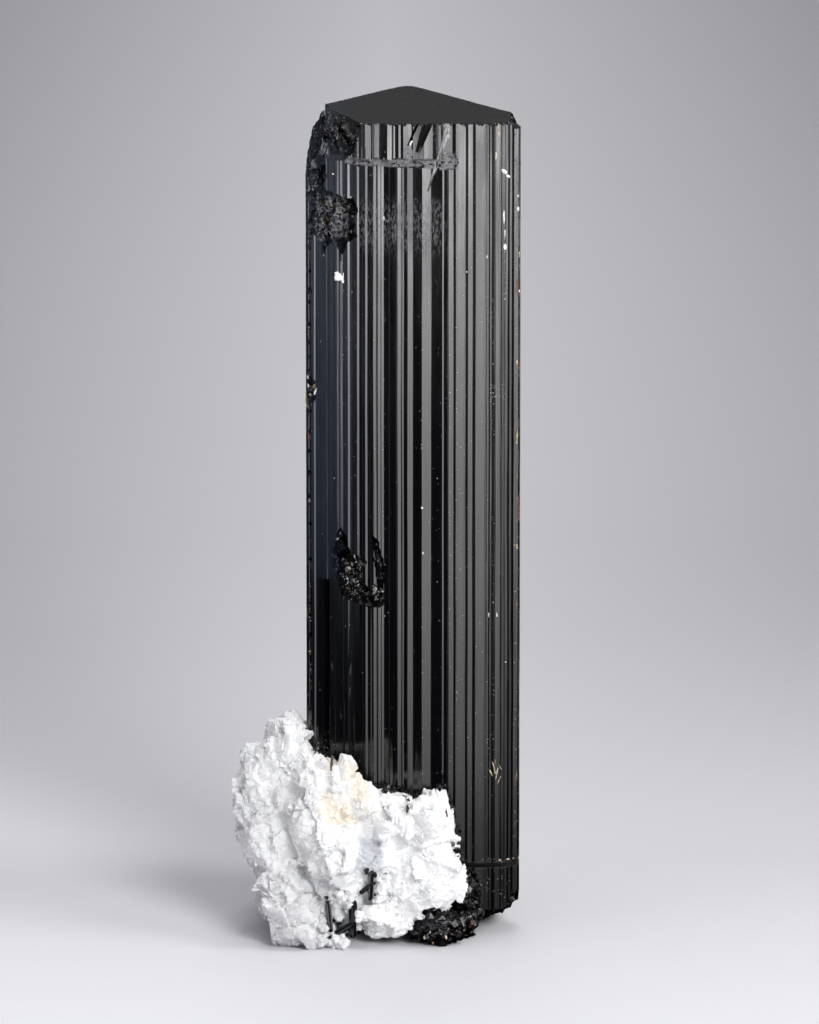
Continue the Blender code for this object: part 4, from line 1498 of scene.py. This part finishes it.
def foot_body():
    """The lumps under the prism melted into one skin."""
    bm = bmesh.new()
    for i, (centre, half_sizes, corners) in enumerate(FOOT_LUMPS, 1):
        halves = [half * LUMP_SHARE for half in half_sizes]
        add_stone(bm, f"lump_{i}", (centre, halves, corners))
    foot = new_object("tourmaline_foot", mesh_from("tourmaline_foot", bm))
    melted(foot, FOOT_VOXEL * MM)
    bm = bmesh.new()
    bm.from_mesh(foot.data)
    bmesh.ops.triangulate(bm, faces=bm.faces[:])
    bm.normal_update()
    depth, size = FOOT_RELIEF
    for vert in bm.verts:
        vert.co += vert.normal * depth * MM * noise.fractal(vert.co / (size * MM), 0.7, 2.0, 3)
    bm.to_mesh(foot.data)
    bm.free()
    return foot


def join(name, parts, material):
    """One object of one material out of several plain meshes."""
    bm = bmesh.new()
    for part in parts:
        bm.from_mesh(part.data)
    for part in parts:
        bpy.data.objects.remove(part)
    for face in bm.faces:
        face.material_index = 0
    return new_object(name, mesh_from(name, bm), material)


def ribbed_needle(bm, centre, radius, length, turn, ribs, seed):
    """A small striated crystal with a worn point at each end."""
    scatter = random.Random(seed)
    reaches = [scatter.uniform(0.80, 1.0) * (1.0 if i % 2 else 0.74) for i in range(2 * ribs)]
    place = Matrix.Translation(centre) @ turn
    rings = []
    for share, width in NEEDLE_STEPS:
        ring = []
        for i, reach in enumerate(reaches):
            angle = math.tau * i / len(reaches)
            out = radius * width * reach
            corner = Vector((out * math.cos(angle), out * math.sin(angle), share * length))
            ring.append(bm.verts.new(place @ corner))
        rings.append(ring)
    count = len(reaches)
    for low, high in zip(rings, rings[1:]):
        for i in range(count):
            bm.faces.new((low[i], low[(i + 1) % count], high[(i + 1) % count], high[i]))
    bm.faces.new(reversed(rings[0]))
    bm.faces.new(rings[-1])


def lean(lean_x, lean_y):
    to_x = Matrix.Rotation(math.radians(lean_x), 4, "Y")
    return to_x @ Matrix.Rotation(math.radians(-lean_y), 4, "X")


def contact_row(rays, across):
    """The first row of the picture, in one column, where the albite stands before the crystal."""
    last = None
    for down in range(*CONTACT_ROWS):
        met = rays.meet(across, down)
        if met is not None and last is not None and last[0].y - met[0].y > CONTACT_STEP * MM:
            return down
        last = met
    return None


class CameraRays:
    """Finds the point of the built pieces that a pixel of the picture shows."""

    def __init__(self, *objects):
        graph = bpy.context.evaluated_depsgraph_get()
        self.trees = [BVHTree.FromObject(obj, graph) for obj in objects]
        rise = math.radians(CAMERA_ELEVATION)
        self.forward = Vector((0.0, math.cos(rise), -math.sin(rise)))
        self.up = Vector((0.0, math.sin(rise), math.cos(rise)))
        self.eye = CAMERA_AIM - self.forward * CAMERA_DISTANCE
        self.pixels = CAMERA_LENS / SENSOR * PICTURE[1]

    def meet(self, across, down):
        """The nearest surface point on that pixel's ray, and the normal there."""
        way = self.forward.copy()
        way += Vector((1, 0, 0)) * (across - PICTURE[0] / 2) / self.pixels
        way += self.up * (PICTURE[1] / 2 - down) / self.pixels
        hits = [tree.ray_cast(self.eye, way.normalized()) for tree in self.trees]
        hits = [hit for hit in hits if hit[0] is not None]
        if not hits:
            return None
        place, normal, _, _ = min(hits, key=lambda hit: hit[3])
        if normal.dot(way) > 0:
            normal = -normal
        return place, normal


def add_flake(bm, rays, feature, thickness, seed):
    """An irregular thin plate lying on the surface that a pixel shows."""
    across, down, width, height, turn = feature
    met = rays.meet(across, down)
    if met is None:
        return
    place, normal = met
    scatter = random.Random(seed)
    stray = Vector([scatter.uniform(-0.25, 0.25) for _ in range(3)])
    facing = (normal * 0.6 + Vector((0, -0.4, 0)) + stray).normalized()
    side = Vector((0, 0, 1)).cross(facing).normalized()
    up = facing.cross(side)
    tilt = Matrix.Rotation(math.radians(turn), 3, facing)
    corners = []
    for i in range(FLAKE_CORNERS):
        angle = math.tau * i / FLAKE_CORNERS
        reach = scatter.uniform(0.6, 1.1)
        flat = side * math.cos(angle) * width / 2 * reach
        flat += up * math.sin(angle) * height / 2 * reach
        for level in (-0.5, 0.5):
            spread = 1.0 if level < 0 else scatter.uniform(0.55, 0.9)
            corners.append(place + (tilt @ flat * spread + facing * level * thickness) * MM)
    add_hull(bm, corners)


def strewn(groups):
    """Small features strewn at random over parts of the picture."""
    scatter = random.Random(SPECK_SEED)
    for middle, half, first, last, count, size in groups:
        for _ in range(count):
            width = size * scatter.uniform(0.35, 1.0)
            across, down = middle + scatter.uniform(-half, half), scatter.uniform(first, last)
            yield across, down, width, width * scatter.uniform(0.6, 2.0), scatter.uniform(-60, 60)


def flakes_piece(name, rays, features, thickness, material):
    bm = bmesh.new()
    for i, feature in enumerate(features):
        add_flake(bm, rays, feature, thickness, f"{name}_{i}")
    return closed_object(name, bm, material)


def heaps_piece(name, rays, features, heap, material, seed, by_size=False):
    """Heaps of little stones on the surface that each pixel shows, which may stray by their size."""
    count, corners, stray = heap
    bm = bmesh.new()
    for i, (across, down, size) in enumerate(features):
        met = rays.meet(across, down)
        if met is None:
            continue
        scatter = random.Random(f"{seed}_{i}")
        spread = size if by_size else 1.0
        for _ in range(count):
            aside = Vector([scatter.uniform(-stray, stray) * spread for _ in range(3)])
            half = size * scatter.uniform(0.35, 0.6)
            points = [
                met[0] + (aside + on_ball * half * scatter.uniform(0.8, 1.15)) * MM
                for on_ball in even_points(corners, scatter)
            ]
            add_hull(bm, points)
    return closed_object(name, bm, material)


def contact_edge(rays):
    """Places for crust along the line where the albite hides the crystal: (across, down, size)."""
    scatter = random.Random(CRUST_SEED)
    for first, last, size in CONTACT_CRUST:
        across = first
        while across < last:
            down = contact_row(rays, across)
            if down is not None:
                beside = down + scatter.uniform(-3.5, 0.6)
                yield across, beside, size * scatter.uniform(0.5, 1.1)
            across += scatter.uniform(0.8, 2.2)


class SPECIMEN_OT_crystal(bpy.types.Operator):
    """Grow the ribbed black crystal and break its corners"""

    bl_idname = "specimen.crystal"
    bl_label = "Grow the Crystal"

    def execute(self, context):
        prism = build_prism(context.scene.tourmaline_look)
        finish_piece(prism, "black_tourmaline", "tourmaline_crystal")
        return {"FINISHED"}


class SPECIMEN_OT_foot(bpy.types.Operator):
    """Grow the knobby foot under the crystal"""

    bl_idname = "specimen.foot"
    bl_label = "Grow the Foot"

    def execute(self, context):
        body = foot_body()
        knobs = scattered(
            "foot_knobs",
            body,
            lambda place, normal: 1.0,
            stone_shapes("knob_shape", 6, 14),
            {
                "Density": 2.6e6,
                "Spacing": 0.75 * MM,
                "Least Size": 0.35 * MM,
                "Most Size": 1.05 * MM,
                "Sink": 0.15 * MM,
                "Seed": 5,
                "Material": crust(),
            },
        )
        foot = join("tourmaline_foot_knobs", [knobs, body], crust())
        foot.data.shade_flat()
        finish_piece(foot, "black_tourmaline")
        return {"FINISHED"}


class SPECIMEN_OT_small_crystals(bpy.types.Operator):
    """Grow the small striated crystals in the albite"""

    bl_idname = "specimen.small_crystals"
    bl_label = "Grow the Small Crystals"

    def execute(self, context):
        for node, prisms in SMALL_CRYSTALS.items():
            bm = bmesh.new()
            for i, (centre, radius, length, lean_x, lean_y) in enumerate(prisms):
                turn = lean(lean_x, lean_y)
                sizes = (radius * MM, length * MM)
                ribbed_needle(bm, spot(*centre), *sizes, turn, SMALL_CRYSTAL_RIBS, f"{node}_{i}")
            piece = new_object(f"{node}_ribbed", mesh_from(node, bm), tourmaline())
            piece.data.shade_flat()
            finish_piece(piece, "black_tourmaline", node)
        return {"FINISHED"}


def weather_tree():
    """Pushes a closed skin in and out by cleaved blocks and by crumbs."""
    tree, nodes, given = geometry_tree(
        "Cleaved Stone",
        (
            ("Block Lean", "Float", 1.0),
            ("Crumb Height", "Float", 0.15 * MM),
            ("Grow", "Float", 0.12 * MM),
            ("Material", "Material", None),
        ),
    )
    place = nodes.add("GeometryNodeInputPosition")["Position"]
    normal = nodes.add("GeometryNodeInputNormal")["Normal"]
    warp = nodes.noise(place, (1.6, 1.6, 1.6), 2.0, "Color")
    warp = nodes.vectors("SUBTRACT", warp, MIDDLE_GREY)
    warped = nodes.vectors("ADD", place, nodes.vectors("MULTIPLY", warp, (0.35 * MM,) * 3))
    turned = nodes.add(
        "ShaderNodeVectorRotate",
        {"rotation_type": "EULER_XYZ"},
        {"Vector": warped, "Rotation": CLEAVAGE_TURN},
    )["Vector"]

    def leaning(size, metric):
        """Small flat faces of this size that each lean their own way."""
        values = {"Vector": turned, "Scale": 1 / (size * MM)}
        cell = nodes.add("ShaderNodeTexVoronoi", {"distance": metric}, values)
        away = nodes.vectors("SUBTRACT", turned, cell["Position"])
        way = nodes.vectors("SUBTRACT", cell["Color"], MIDDLE_GREY)
        dot = nodes.add("ShaderNodeVectorMath", {"operation": "DOT_PRODUCT"}, {0: away, 1: way})
        return dot["Value"]

    height = leaning(3.2, "CHEBYCHEV") * given["Block Lean"]
    height = height + leaning(1.4, "EUCLIDEAN") * given["Block Lean"] * 0.6
    height = height + leaning(0.7, "EUCLIDEAN") * given["Block Lean"] * 0.5
    crumbs = nodes.noise(place, (0.6, 0.6, 0.6), 2.0)
    height = height + (crumbs - 0.5) * given["Crumb Height"] + given["Grow"]
    finish_tree(nodes, nodes.moved(given["Geometry"], nodes.scaled(normal, height)), given)
    return tree


def albite_cutters():
    """The stones cut out of the albite, and the parts of the picture where it is cut away."""
    made = [stone(f"albite_cut_{i}", cut) for i, cut in enumerate(ALBITE_CUTS)]
    for i, outline in enumerate(ALBITE_CLEARED):
        corners = []
        for depth in CLEARED_DEPTHS:
            for across, down in outline:
                x, z = picture_place(across, down, depth)
                corners.append(spot(x, depth, z))
        made.append(hull_object(f"albite_cleared_{i}", corners))
    return made


class SPECIMEN_OT_albite(bpy.types.Operator):
    """Rebuild the white stone with its cleaved blocks and crumbs"""

    bl_idname = "specimen.albite"
    bl_label = "Build the Albite"

    def execute(self, context):
        looks = context.scene.albite_look
        node = frame["nodes"]["albite_matrix"]
        bm = bmesh.new()
        bm.from_mesh(node.data)
        bmesh.ops.remove_doubles(bm, verts=bm.verts[:], dist=1e-6)
        for i, lump in enumerate(ALBITE_LUMPS):
            add_stone(bm, f"albite_lump_{i}", lump)
        rock = new_object("albite_stone", mesh_from("albite_stone", bm), albite())
        melted(rock, looks.voxel)
        cuts = gathered("albite_cuts", albite_cutters())
        carve(rock, "DIFFERENCE", cuts)
        settled(rock)
        discard(cuts)
        values = {"Block Lean": looks.block_lean, "Material": albite()}
        run_tree(rock, weather_tree(), values)
        rock.data.shade_flat()
        finish_piece(rock, "white_albite", "albite_matrix")
        return {"FINISHED"}


class SPECIMEN_OT_grains(bpy.types.Operator):
    """Scatter the sugary grains over the albite"""

    bl_idname = "specimen.grains"
    bl_label = "Scatter the Grains"

    def execute(self, context):
        looks = context.scene.albite_look
        rock = bpy.data.objects["albite_stone"]

        def cover(place, normal):
            more = noise.noise(place / GRAIN_PATCHES) * 0.5 + 0.5
            return min(1.0, LEAST_GRAINS + more)

        grains = scattered(
            "albite_grains",
            rock,
            cover,
            crystal_shapes("grain_shape", 7),
            {
                "Density": 5.5e6,
                "Spacing": looks.grain_spacing,
                "Least Size": 0.12 * MM,
                "Most Size": looks.grain_size,
                "Sink": 0.14 * MM,
                "Seed": 8,
                "Material": albite(),
            },
        )
        finish_piece(grains, "white_albite")
        return {"FINISHED"}


class SPECIMEN_OT_contact(bpy.types.Operator):
    """Add the black crust, the brown needles and the white blades where the two minerals meet"""

    bl_idname = "specimen.contact"
    bl_label = "Add the Contact Crust"

    def execute(self, context):
        names = ("tourmaline_prism", "albite_stone", "tourmaline_foot_knobs")
        rays = CameraRays(*(bpy.data.objects[name] for name in names))
        places = (*BLACK_CRUST, *contact_edge(rays))
        piece = heaps_piece("contact_crust", rays, places, CRUST_HEAP, crust(), "crust")
        finish_piece(piece, "black_tourmaline")

        bm = bmesh.new()
        for i, (across, down, width, height, turn) in enumerate(BROWN_NEEDLES):
            met = rays.meet(across, down)
            if met is not None:
                sizes = (width / 2 * MM, height * MM)
                ribbed_needle(
                    bm, met[0], *sizes, lean(turn, BROWN_NEEDLE_LEAN), BROWN_NEEDLE_RIBS, f"brown_{i}"
                )
        brown = material_named("brown needles", paint_brown)
        piece = new_object("brown_needles", mesh_from("brown_needles", bm), brown)
        finish_piece(piece, "black_tourmaline")

        piece = flakes_piece("albite_blades", rays, WHITE_BLADES, 0.5, albite())
        finish_piece(piece, "white_albite")

        small = (f"{node}_ribbed" for node in SMALL_CRYSTALS)
        rays = CameraRays(*(bpy.data.objects[name] for name in (*names, *small)))
        piece = heaps_piece("albite_crumbs", rays, WHITE_LUMPS, CRUMB_HEAP, albite(), "lump", True)
        finish_piece(piece, "white_albite")
        return {"FINISHED"}


class SPECIMEN_OT_flakes(bpy.types.Operator):
    """Add the white and golden flakes and the dust that cling to the crystal"""

    bl_idname = "specimen.flakes"
    bl_label = "Add the Flakes"

    def execute(self, context):
        prism = bpy.data.objects["tourmaline_prism"]
        foot = bpy.data.objects["tourmaline_foot_knobs"]
        rays = CameraRays(prism, foot)
        white = material_named("white flakes", paint_flake)
        gold = material_named("golden flakes", paint_gold)
        sets = (
            ("white_flakes", WHITE_FLAKES, 0.12, white),
            ("golden_flakes", GOLDEN_FLAKES, 0.14, gold),
            ("golden_needles", GOLDEN_NEEDLES, 0.12, gold),
            ("foot_glints", FOOT_GLINTS, 0.25, gold),
            # the dust includes painted highlights along the rim
            ("crystal_dust", strewn(DUST_AND_RIM_HIGHLIGHTS), 0.04, material_named("dust", paint_dust_and_highlights)),
            ("crystal_glints", strewn(GLINTS), 0.10, material_named("glints", paint_glint)),
        )
        for name, features, thickness, material in sets:
            finish_piece(flakes_piece(name, rays, features, thickness, material), "white_albite")
        return {"FINISHED"}


def stage_material(name, make):
    """A material for the studio, from a function that returns its surface shader."""
    material = bpy.data.materials.new(name)
    material.use_nodes = True
    material.node_tree.nodes.clear()
    nodes = Nodes(material.node_tree)
    nodes.add("ShaderNodeOutputMaterial", {}, {"Surface": make(nodes)})
    return material


# Painted light and shade on the floor, standing in for how the lights fall off, from in front of the
# specimen to far behind it: (metres behind it, tone)
PAINTED_FLOOR_LIGHT = (
    (-0.05, 0.72), (-0.03, 0.70), (0.0, 0.67), (0.03, 0.64), (0.06, 0.63), (0.10, 0.61),
    (0.16, 0.59), (0.22, 0.59), (0.30, 0.62), (0.38, 0.65), (0.45, 0.67), (0.55, 0.69),
    (0.70, 0.71),
)  # fmt: skip
# Painted shade: the floor is painted darker towards the picture's sides
PAINTED_FLOOR_SIDE_SHADE = 0.30  # share of the tone that is gone at the picture's sides
FLOOR_SIDE = 0.07  # metres from the middle to the picture's side


def backdrop_shader(nodes):
    place = nodes.add("ShaderNodeTexCoord")["Object"]
    x, y, _ = nodes.parts(place)
    stops = [(depth - PAINTED_FLOOR_LIGHT[0][0], tone) for depth, tone in PAINTED_FLOOR_LIGHT]
    reach = stops[-1][0]
    stops = [(depth / reach, look(tone, tone, tone * 1.04)) for depth, tone in stops]
    far = (y - PAINTED_FLOOR_LIGHT[0][0]) / reach
    tone = nodes.add("ShaderNodeValToRGB", {"stops": stops}, {"Fac": far})["Color"]
    # Painted shade towards the picture's sides, and on the near floor at the right
    aside = nodes.maths("MINIMUM", nodes.maths("ABSOLUTE", x) / FLOOR_SIDE, 1.4)
    sides = aside * nodes.from_to(y, -0.04, 0.22) * PAINTED_FLOOR_SIDE_SHADE
    sides = sides + nodes.from_to(x, -0.05, 0.05) * nodes.from_to(y, 0.30, 0.05) * 0.06
    colour = nodes.blend(sides, tone, look(0.0, 0.0, 0.0))
    values = {"Base Color": colour, "Roughness": 0.9, "Specular IOR Level": 0.0}
    return nodes.add("ShaderNodeBsdfPrincipled", {}, values)["BSDF"]


# Light cards on a tent round the specimen: (direction, half width and soft edge in degrees, strength)
CARDS = (
    (0, 3, 30, 0.62),
    (1, 0, 15, 0.42),
    (120, 9, 6, 0.45),
    (-122, 3, 5, 0.25),
)
BLUE_CARD = (-40, 6, 5)
BLUE = (0.66, 0.78, 1.0)
WHITE = (1.0, 1.0, 1.02)
TENT_RADIUS = 0.32
TENT_HEIGHT = 0.8
TENT_MIDDLE = 0.15
DOUBLES_EVERY = 0.052  # metres of height over which the cards' light doubles
TOP_FADES = (0.09, 0.06)  # heights between which the light comes in from the top
FOOT_FADES = (-0.067, -0.059)  # and where it grows from a share of its strength, low down
FOOT_SHARE = 0.25
MIDDLE_GROWS = (0.027, 0.034)  # and where it grows by a half, half way up
MIDDLE_GAIN = 0.5
GLOW = 0.03  # all round, beside the cards
BLUE_STARTS = (-0.030, -0.018)


def tent_shader(nodes, strength):
    """Cards of light that grow brighter upwards, a blue one at the left, and a faint glow."""
    place = nodes.vectors("SUBTRACT", nodes.add("ShaderNodeTexCoord")["Object"], AXIS)
    x, y, z = nodes.parts(place)

    def card(direction, half, soft):
        angle = math.radians(direction)
        toward = (x * math.sin(angle) - y * math.cos(angle)) / TENT_RADIUS
        edges = [math.cos(math.radians(a)) for a in (half + soft, half)]
        return nodes.from_to(toward, *edges)

    rise = 2.0 ** (z / DOUBLES_EVERY) * nodes.from_to(z, *TOP_FADES)
    rise = rise * (FOOT_SHARE + nodes.from_to(z, *FOOT_FADES) * (1 - FOOT_SHARE))
    rise = rise * (1.0 + nodes.from_to(z, *MIDDLE_GROWS) * MIDDLE_GAIN)
    light = rise * GLOW
    for direction, half, soft, share in CARDS:
        light = light + card(direction, half, soft) * rise * (strength * share)
    blue = card(*BLUE_CARD) * nodes.from_to(z, *BLUE_STARTS)
    blue = blue * (0.30 + nodes.from_to(z, -0.03, 0.05) * 0.5)
    colour = nodes.vectors("ADD", nodes.scaled(WHITE, light), nodes.scaled(BLUE, blue))
    glow = nodes.add("ShaderNodeEmission", {}, {"Color": colour, "Strength": 1.0})["Emission"]
    clear = nodes.add("ShaderNodeBsdfTransparent")["BSDF"]
    return nodes.add("ShaderNodeAddShader", {}, {0: glow, 1: clear})["Shader"]


def backdrop():
    """A wide pale floor that curves up into a wall all round, turned from one profile."""
    bm = bmesh.new()
    flat, bend, top = 1.5, 0.5, 1.6
    line = [(0.0, 0.0), (0.3, 0.0), (flat, 0.0)]
    for step in range(1, 9):
        angle = math.pi / 2 * step / 8
        line.append((flat + bend * math.sin(angle), bend * (1 - math.cos(angle))))
    line.append((flat + bend, top))
    verts = [bm.verts.new((out, 0, height)) for out, height in line]
    edges = [bm.edges.new(pair) for pair in zip(verts, verts[1:])]
    about = {"cent": (0, 0, 0), "axis": (0, 0, 1), "angle": math.tau, "steps": 64}
    bmesh.ops.spin(bm, geom=verts + edges, use_merge=True, **about)
    bmesh.ops.remove_doubles(bm, verts=bm.verts[:], dist=1e-5)
    floor = closed_object("backdrop", bm, stage_material("backdrop", backdrop_shader))
    floor.data.shade_smooth()
    floor.visible_glossy = False


def tent(strength):
    bm = bmesh.new()
    radii = {"radius1": TENT_RADIUS, "radius2": TENT_RADIUS}
    bmesh.ops.create_cone(bm, segments=96, depth=TENT_HEIGHT, cap_ends=False, **radii)
    bmesh.ops.translate(bm, verts=bm.verts[:], vec=AXIS + Vector((0, 0, TENT_MIDDLE)))
    material = stage_material("tent", lambda nodes: tent_shader(nodes, strength))
    walls = new_object("tent", mesh_from("tent", bm), material)
    walls.visible_camera = False
    walls.visible_diffuse = False
    walls.visible_shadow = False
    walls.visible_transmission = False


# The lights, whose powers are in StudioLook: (name, place, what it is aimed at, size), in metres
LIGHTS = (
    ("front", (0.36, -0.72, 0.50), (0, 0, 0.03), 0.40),
    ("key", (0.55, -0.12, 0.50), (0, 0, 0.03), 0.30),
    ("fill", (-0.60, -0.30, 0.40), (0, 0, 0.03), 0.50),
    ("top", (0.05, 0.10, 0.80), (0, 0, 0.0), 0.50),
    ("back", (0.0, 0.75, 0.90), (0, 0.6, 0.0), 0.60),
)


def area_light(name, place, target, size, power):
    lamp = bpy.data.lights.new(name, "AREA")
    lamp.shape = "DISK"
    lamp.size = size
    lamp.energy = power
    obj = bpy.data.objects.new(name, lamp)
    obj.location = place
    obj.rotation_euler = (Vector(target) - Vector(place)).to_track_quat("-Z", "Y").to_euler()
    bpy.context.scene.collection.objects.link(obj)


def sky():
    world = bpy.data.worlds.new("studio")
    world.use_nodes = True
    world.node_tree.nodes.clear()
    nodes = Nodes(world.node_tree)
    height = nodes.parts(nodes.add("ShaderNodeTexCoord")["Generated"])[2]
    above, overhead = nodes.from_to(height, -0.02, 0.12), nodes.from_to(height, 0.25, 0.9)
    low = nodes.blend(above, look(0.0, 0.0, 0.0), look(0.095, 0.097, 0.10))
    colour = nodes.blend(overhead, low, look(0.45, 0.45, 0.465))
    shader = nodes.add("ShaderNodeBackground", {}, {"Color": colour, "Strength": 1.0})["Background"]
    nodes.add("ShaderNodeOutputWorld", {}, {"Surface": shader})
    bpy.context.scene.world = world


def photo_camera():
    """The camera, where the photograph was taken from."""
    camera = bpy.data.cameras.new("camera")
    camera.lens = CAMERA_LENS
    camera.sensor_width = SENSOR
    camera.clip_start, camera.clip_end = CAMERA_CLIP
    placed = bpy.data.objects.new("camera", camera)
    rise = math.radians(CAMERA_ELEVATION)
    back = Vector((0.0, -math.cos(rise), math.sin(rise)))
    placed.location = CAMERA_AIM + back * CAMERA_DISTANCE
    placed.rotation_euler = (-back).to_track_quat("-Z", "Y").to_euler()
    bpy.context.scene.collection.objects.link(placed)
    bpy.context.scene.camera = placed


class SPECIMEN_OT_studio(bpy.types.Operator):
    """Set up the pale floor, the light cards, the lights, the sky and the camera"""

    bl_idname = "specimen.studio"
    bl_label = "Set Up the Studio"

    def execute(self, context):
        looks = context.scene.studio_look
        backdrop()
        tent(looks.card_strength)
        for name, *placing in LIGHTS:
            area_light(name, *placing, getattr(looks, f"{name}_power"))
        bpy.data.objects["front"].visible_glossy = False
        sky()
        photo_camera()
        context.scene.view_settings.view_transform = "Standard"
        return {"FINISHED"}


class SPECIMEN_PT_panel(bpy.types.Panel):
    """Lists the specimen's steps and their values"""

    bl_idname = "SPECIMEN_PT_panel"
    bl_label = "Tourmaline on Albite"
    bl_space_type = "VIEW_3D"
    bl_region_type = "UI"
    bl_category = "Specimen"

    def draw(self, context):
        for looks in LOOKS:
            box = self.layout.box()
            group = getattr(context.scene, looks)
            for name in group.__annotations__:
                box.prop(group, name)
        for step in STEPS:
            self.layout.operator(step.bl_idname)


LOOKS = {
    "tourmaline_look": TourmalineLook,
    "albite_look": AlbiteLook,
    "studio_look": StudioLook,
}
STEPS = (
    SPECIMEN_OT_crystal,
    SPECIMEN_OT_foot,
    SPECIMEN_OT_small_crystals,
    SPECIMEN_OT_albite,
    SPECIMEN_OT_grains,
    SPECIMEN_OT_contact,
    SPECIMEN_OT_flakes,
    SPECIMEN_OT_studio,
)


def register():
    for cls in (*LOOKS.values(), *STEPS, SPECIMEN_PT_panel):
        bpy.utils.register_class(cls)
    for name, cls in LOOKS.items():
        setattr(bpy.types.Scene, name, bpy.props.PointerProperty(type=cls))


def unregister():
    for name in LOOKS:
        delattr(bpy.types.Scene, name)
    for cls in reversed((*LOOKS.values(), *STEPS, SPECIMEN_PT_panel)):
        bpy.utils.unregister_class(cls)


def main():
    register()
    bpy.ops.specimen.crystal()
    bpy.ops.specimen.foot()
    bpy.ops.specimen.small_crystals()
    bpy.ops.specimen.albite()
    bpy.ops.specimen.grains()
    bpy.ops.specimen.contact()
    bpy.ops.specimen.flakes()
    bpy.ops.specimen.studio()


if __name__ == "__main__":
    main()
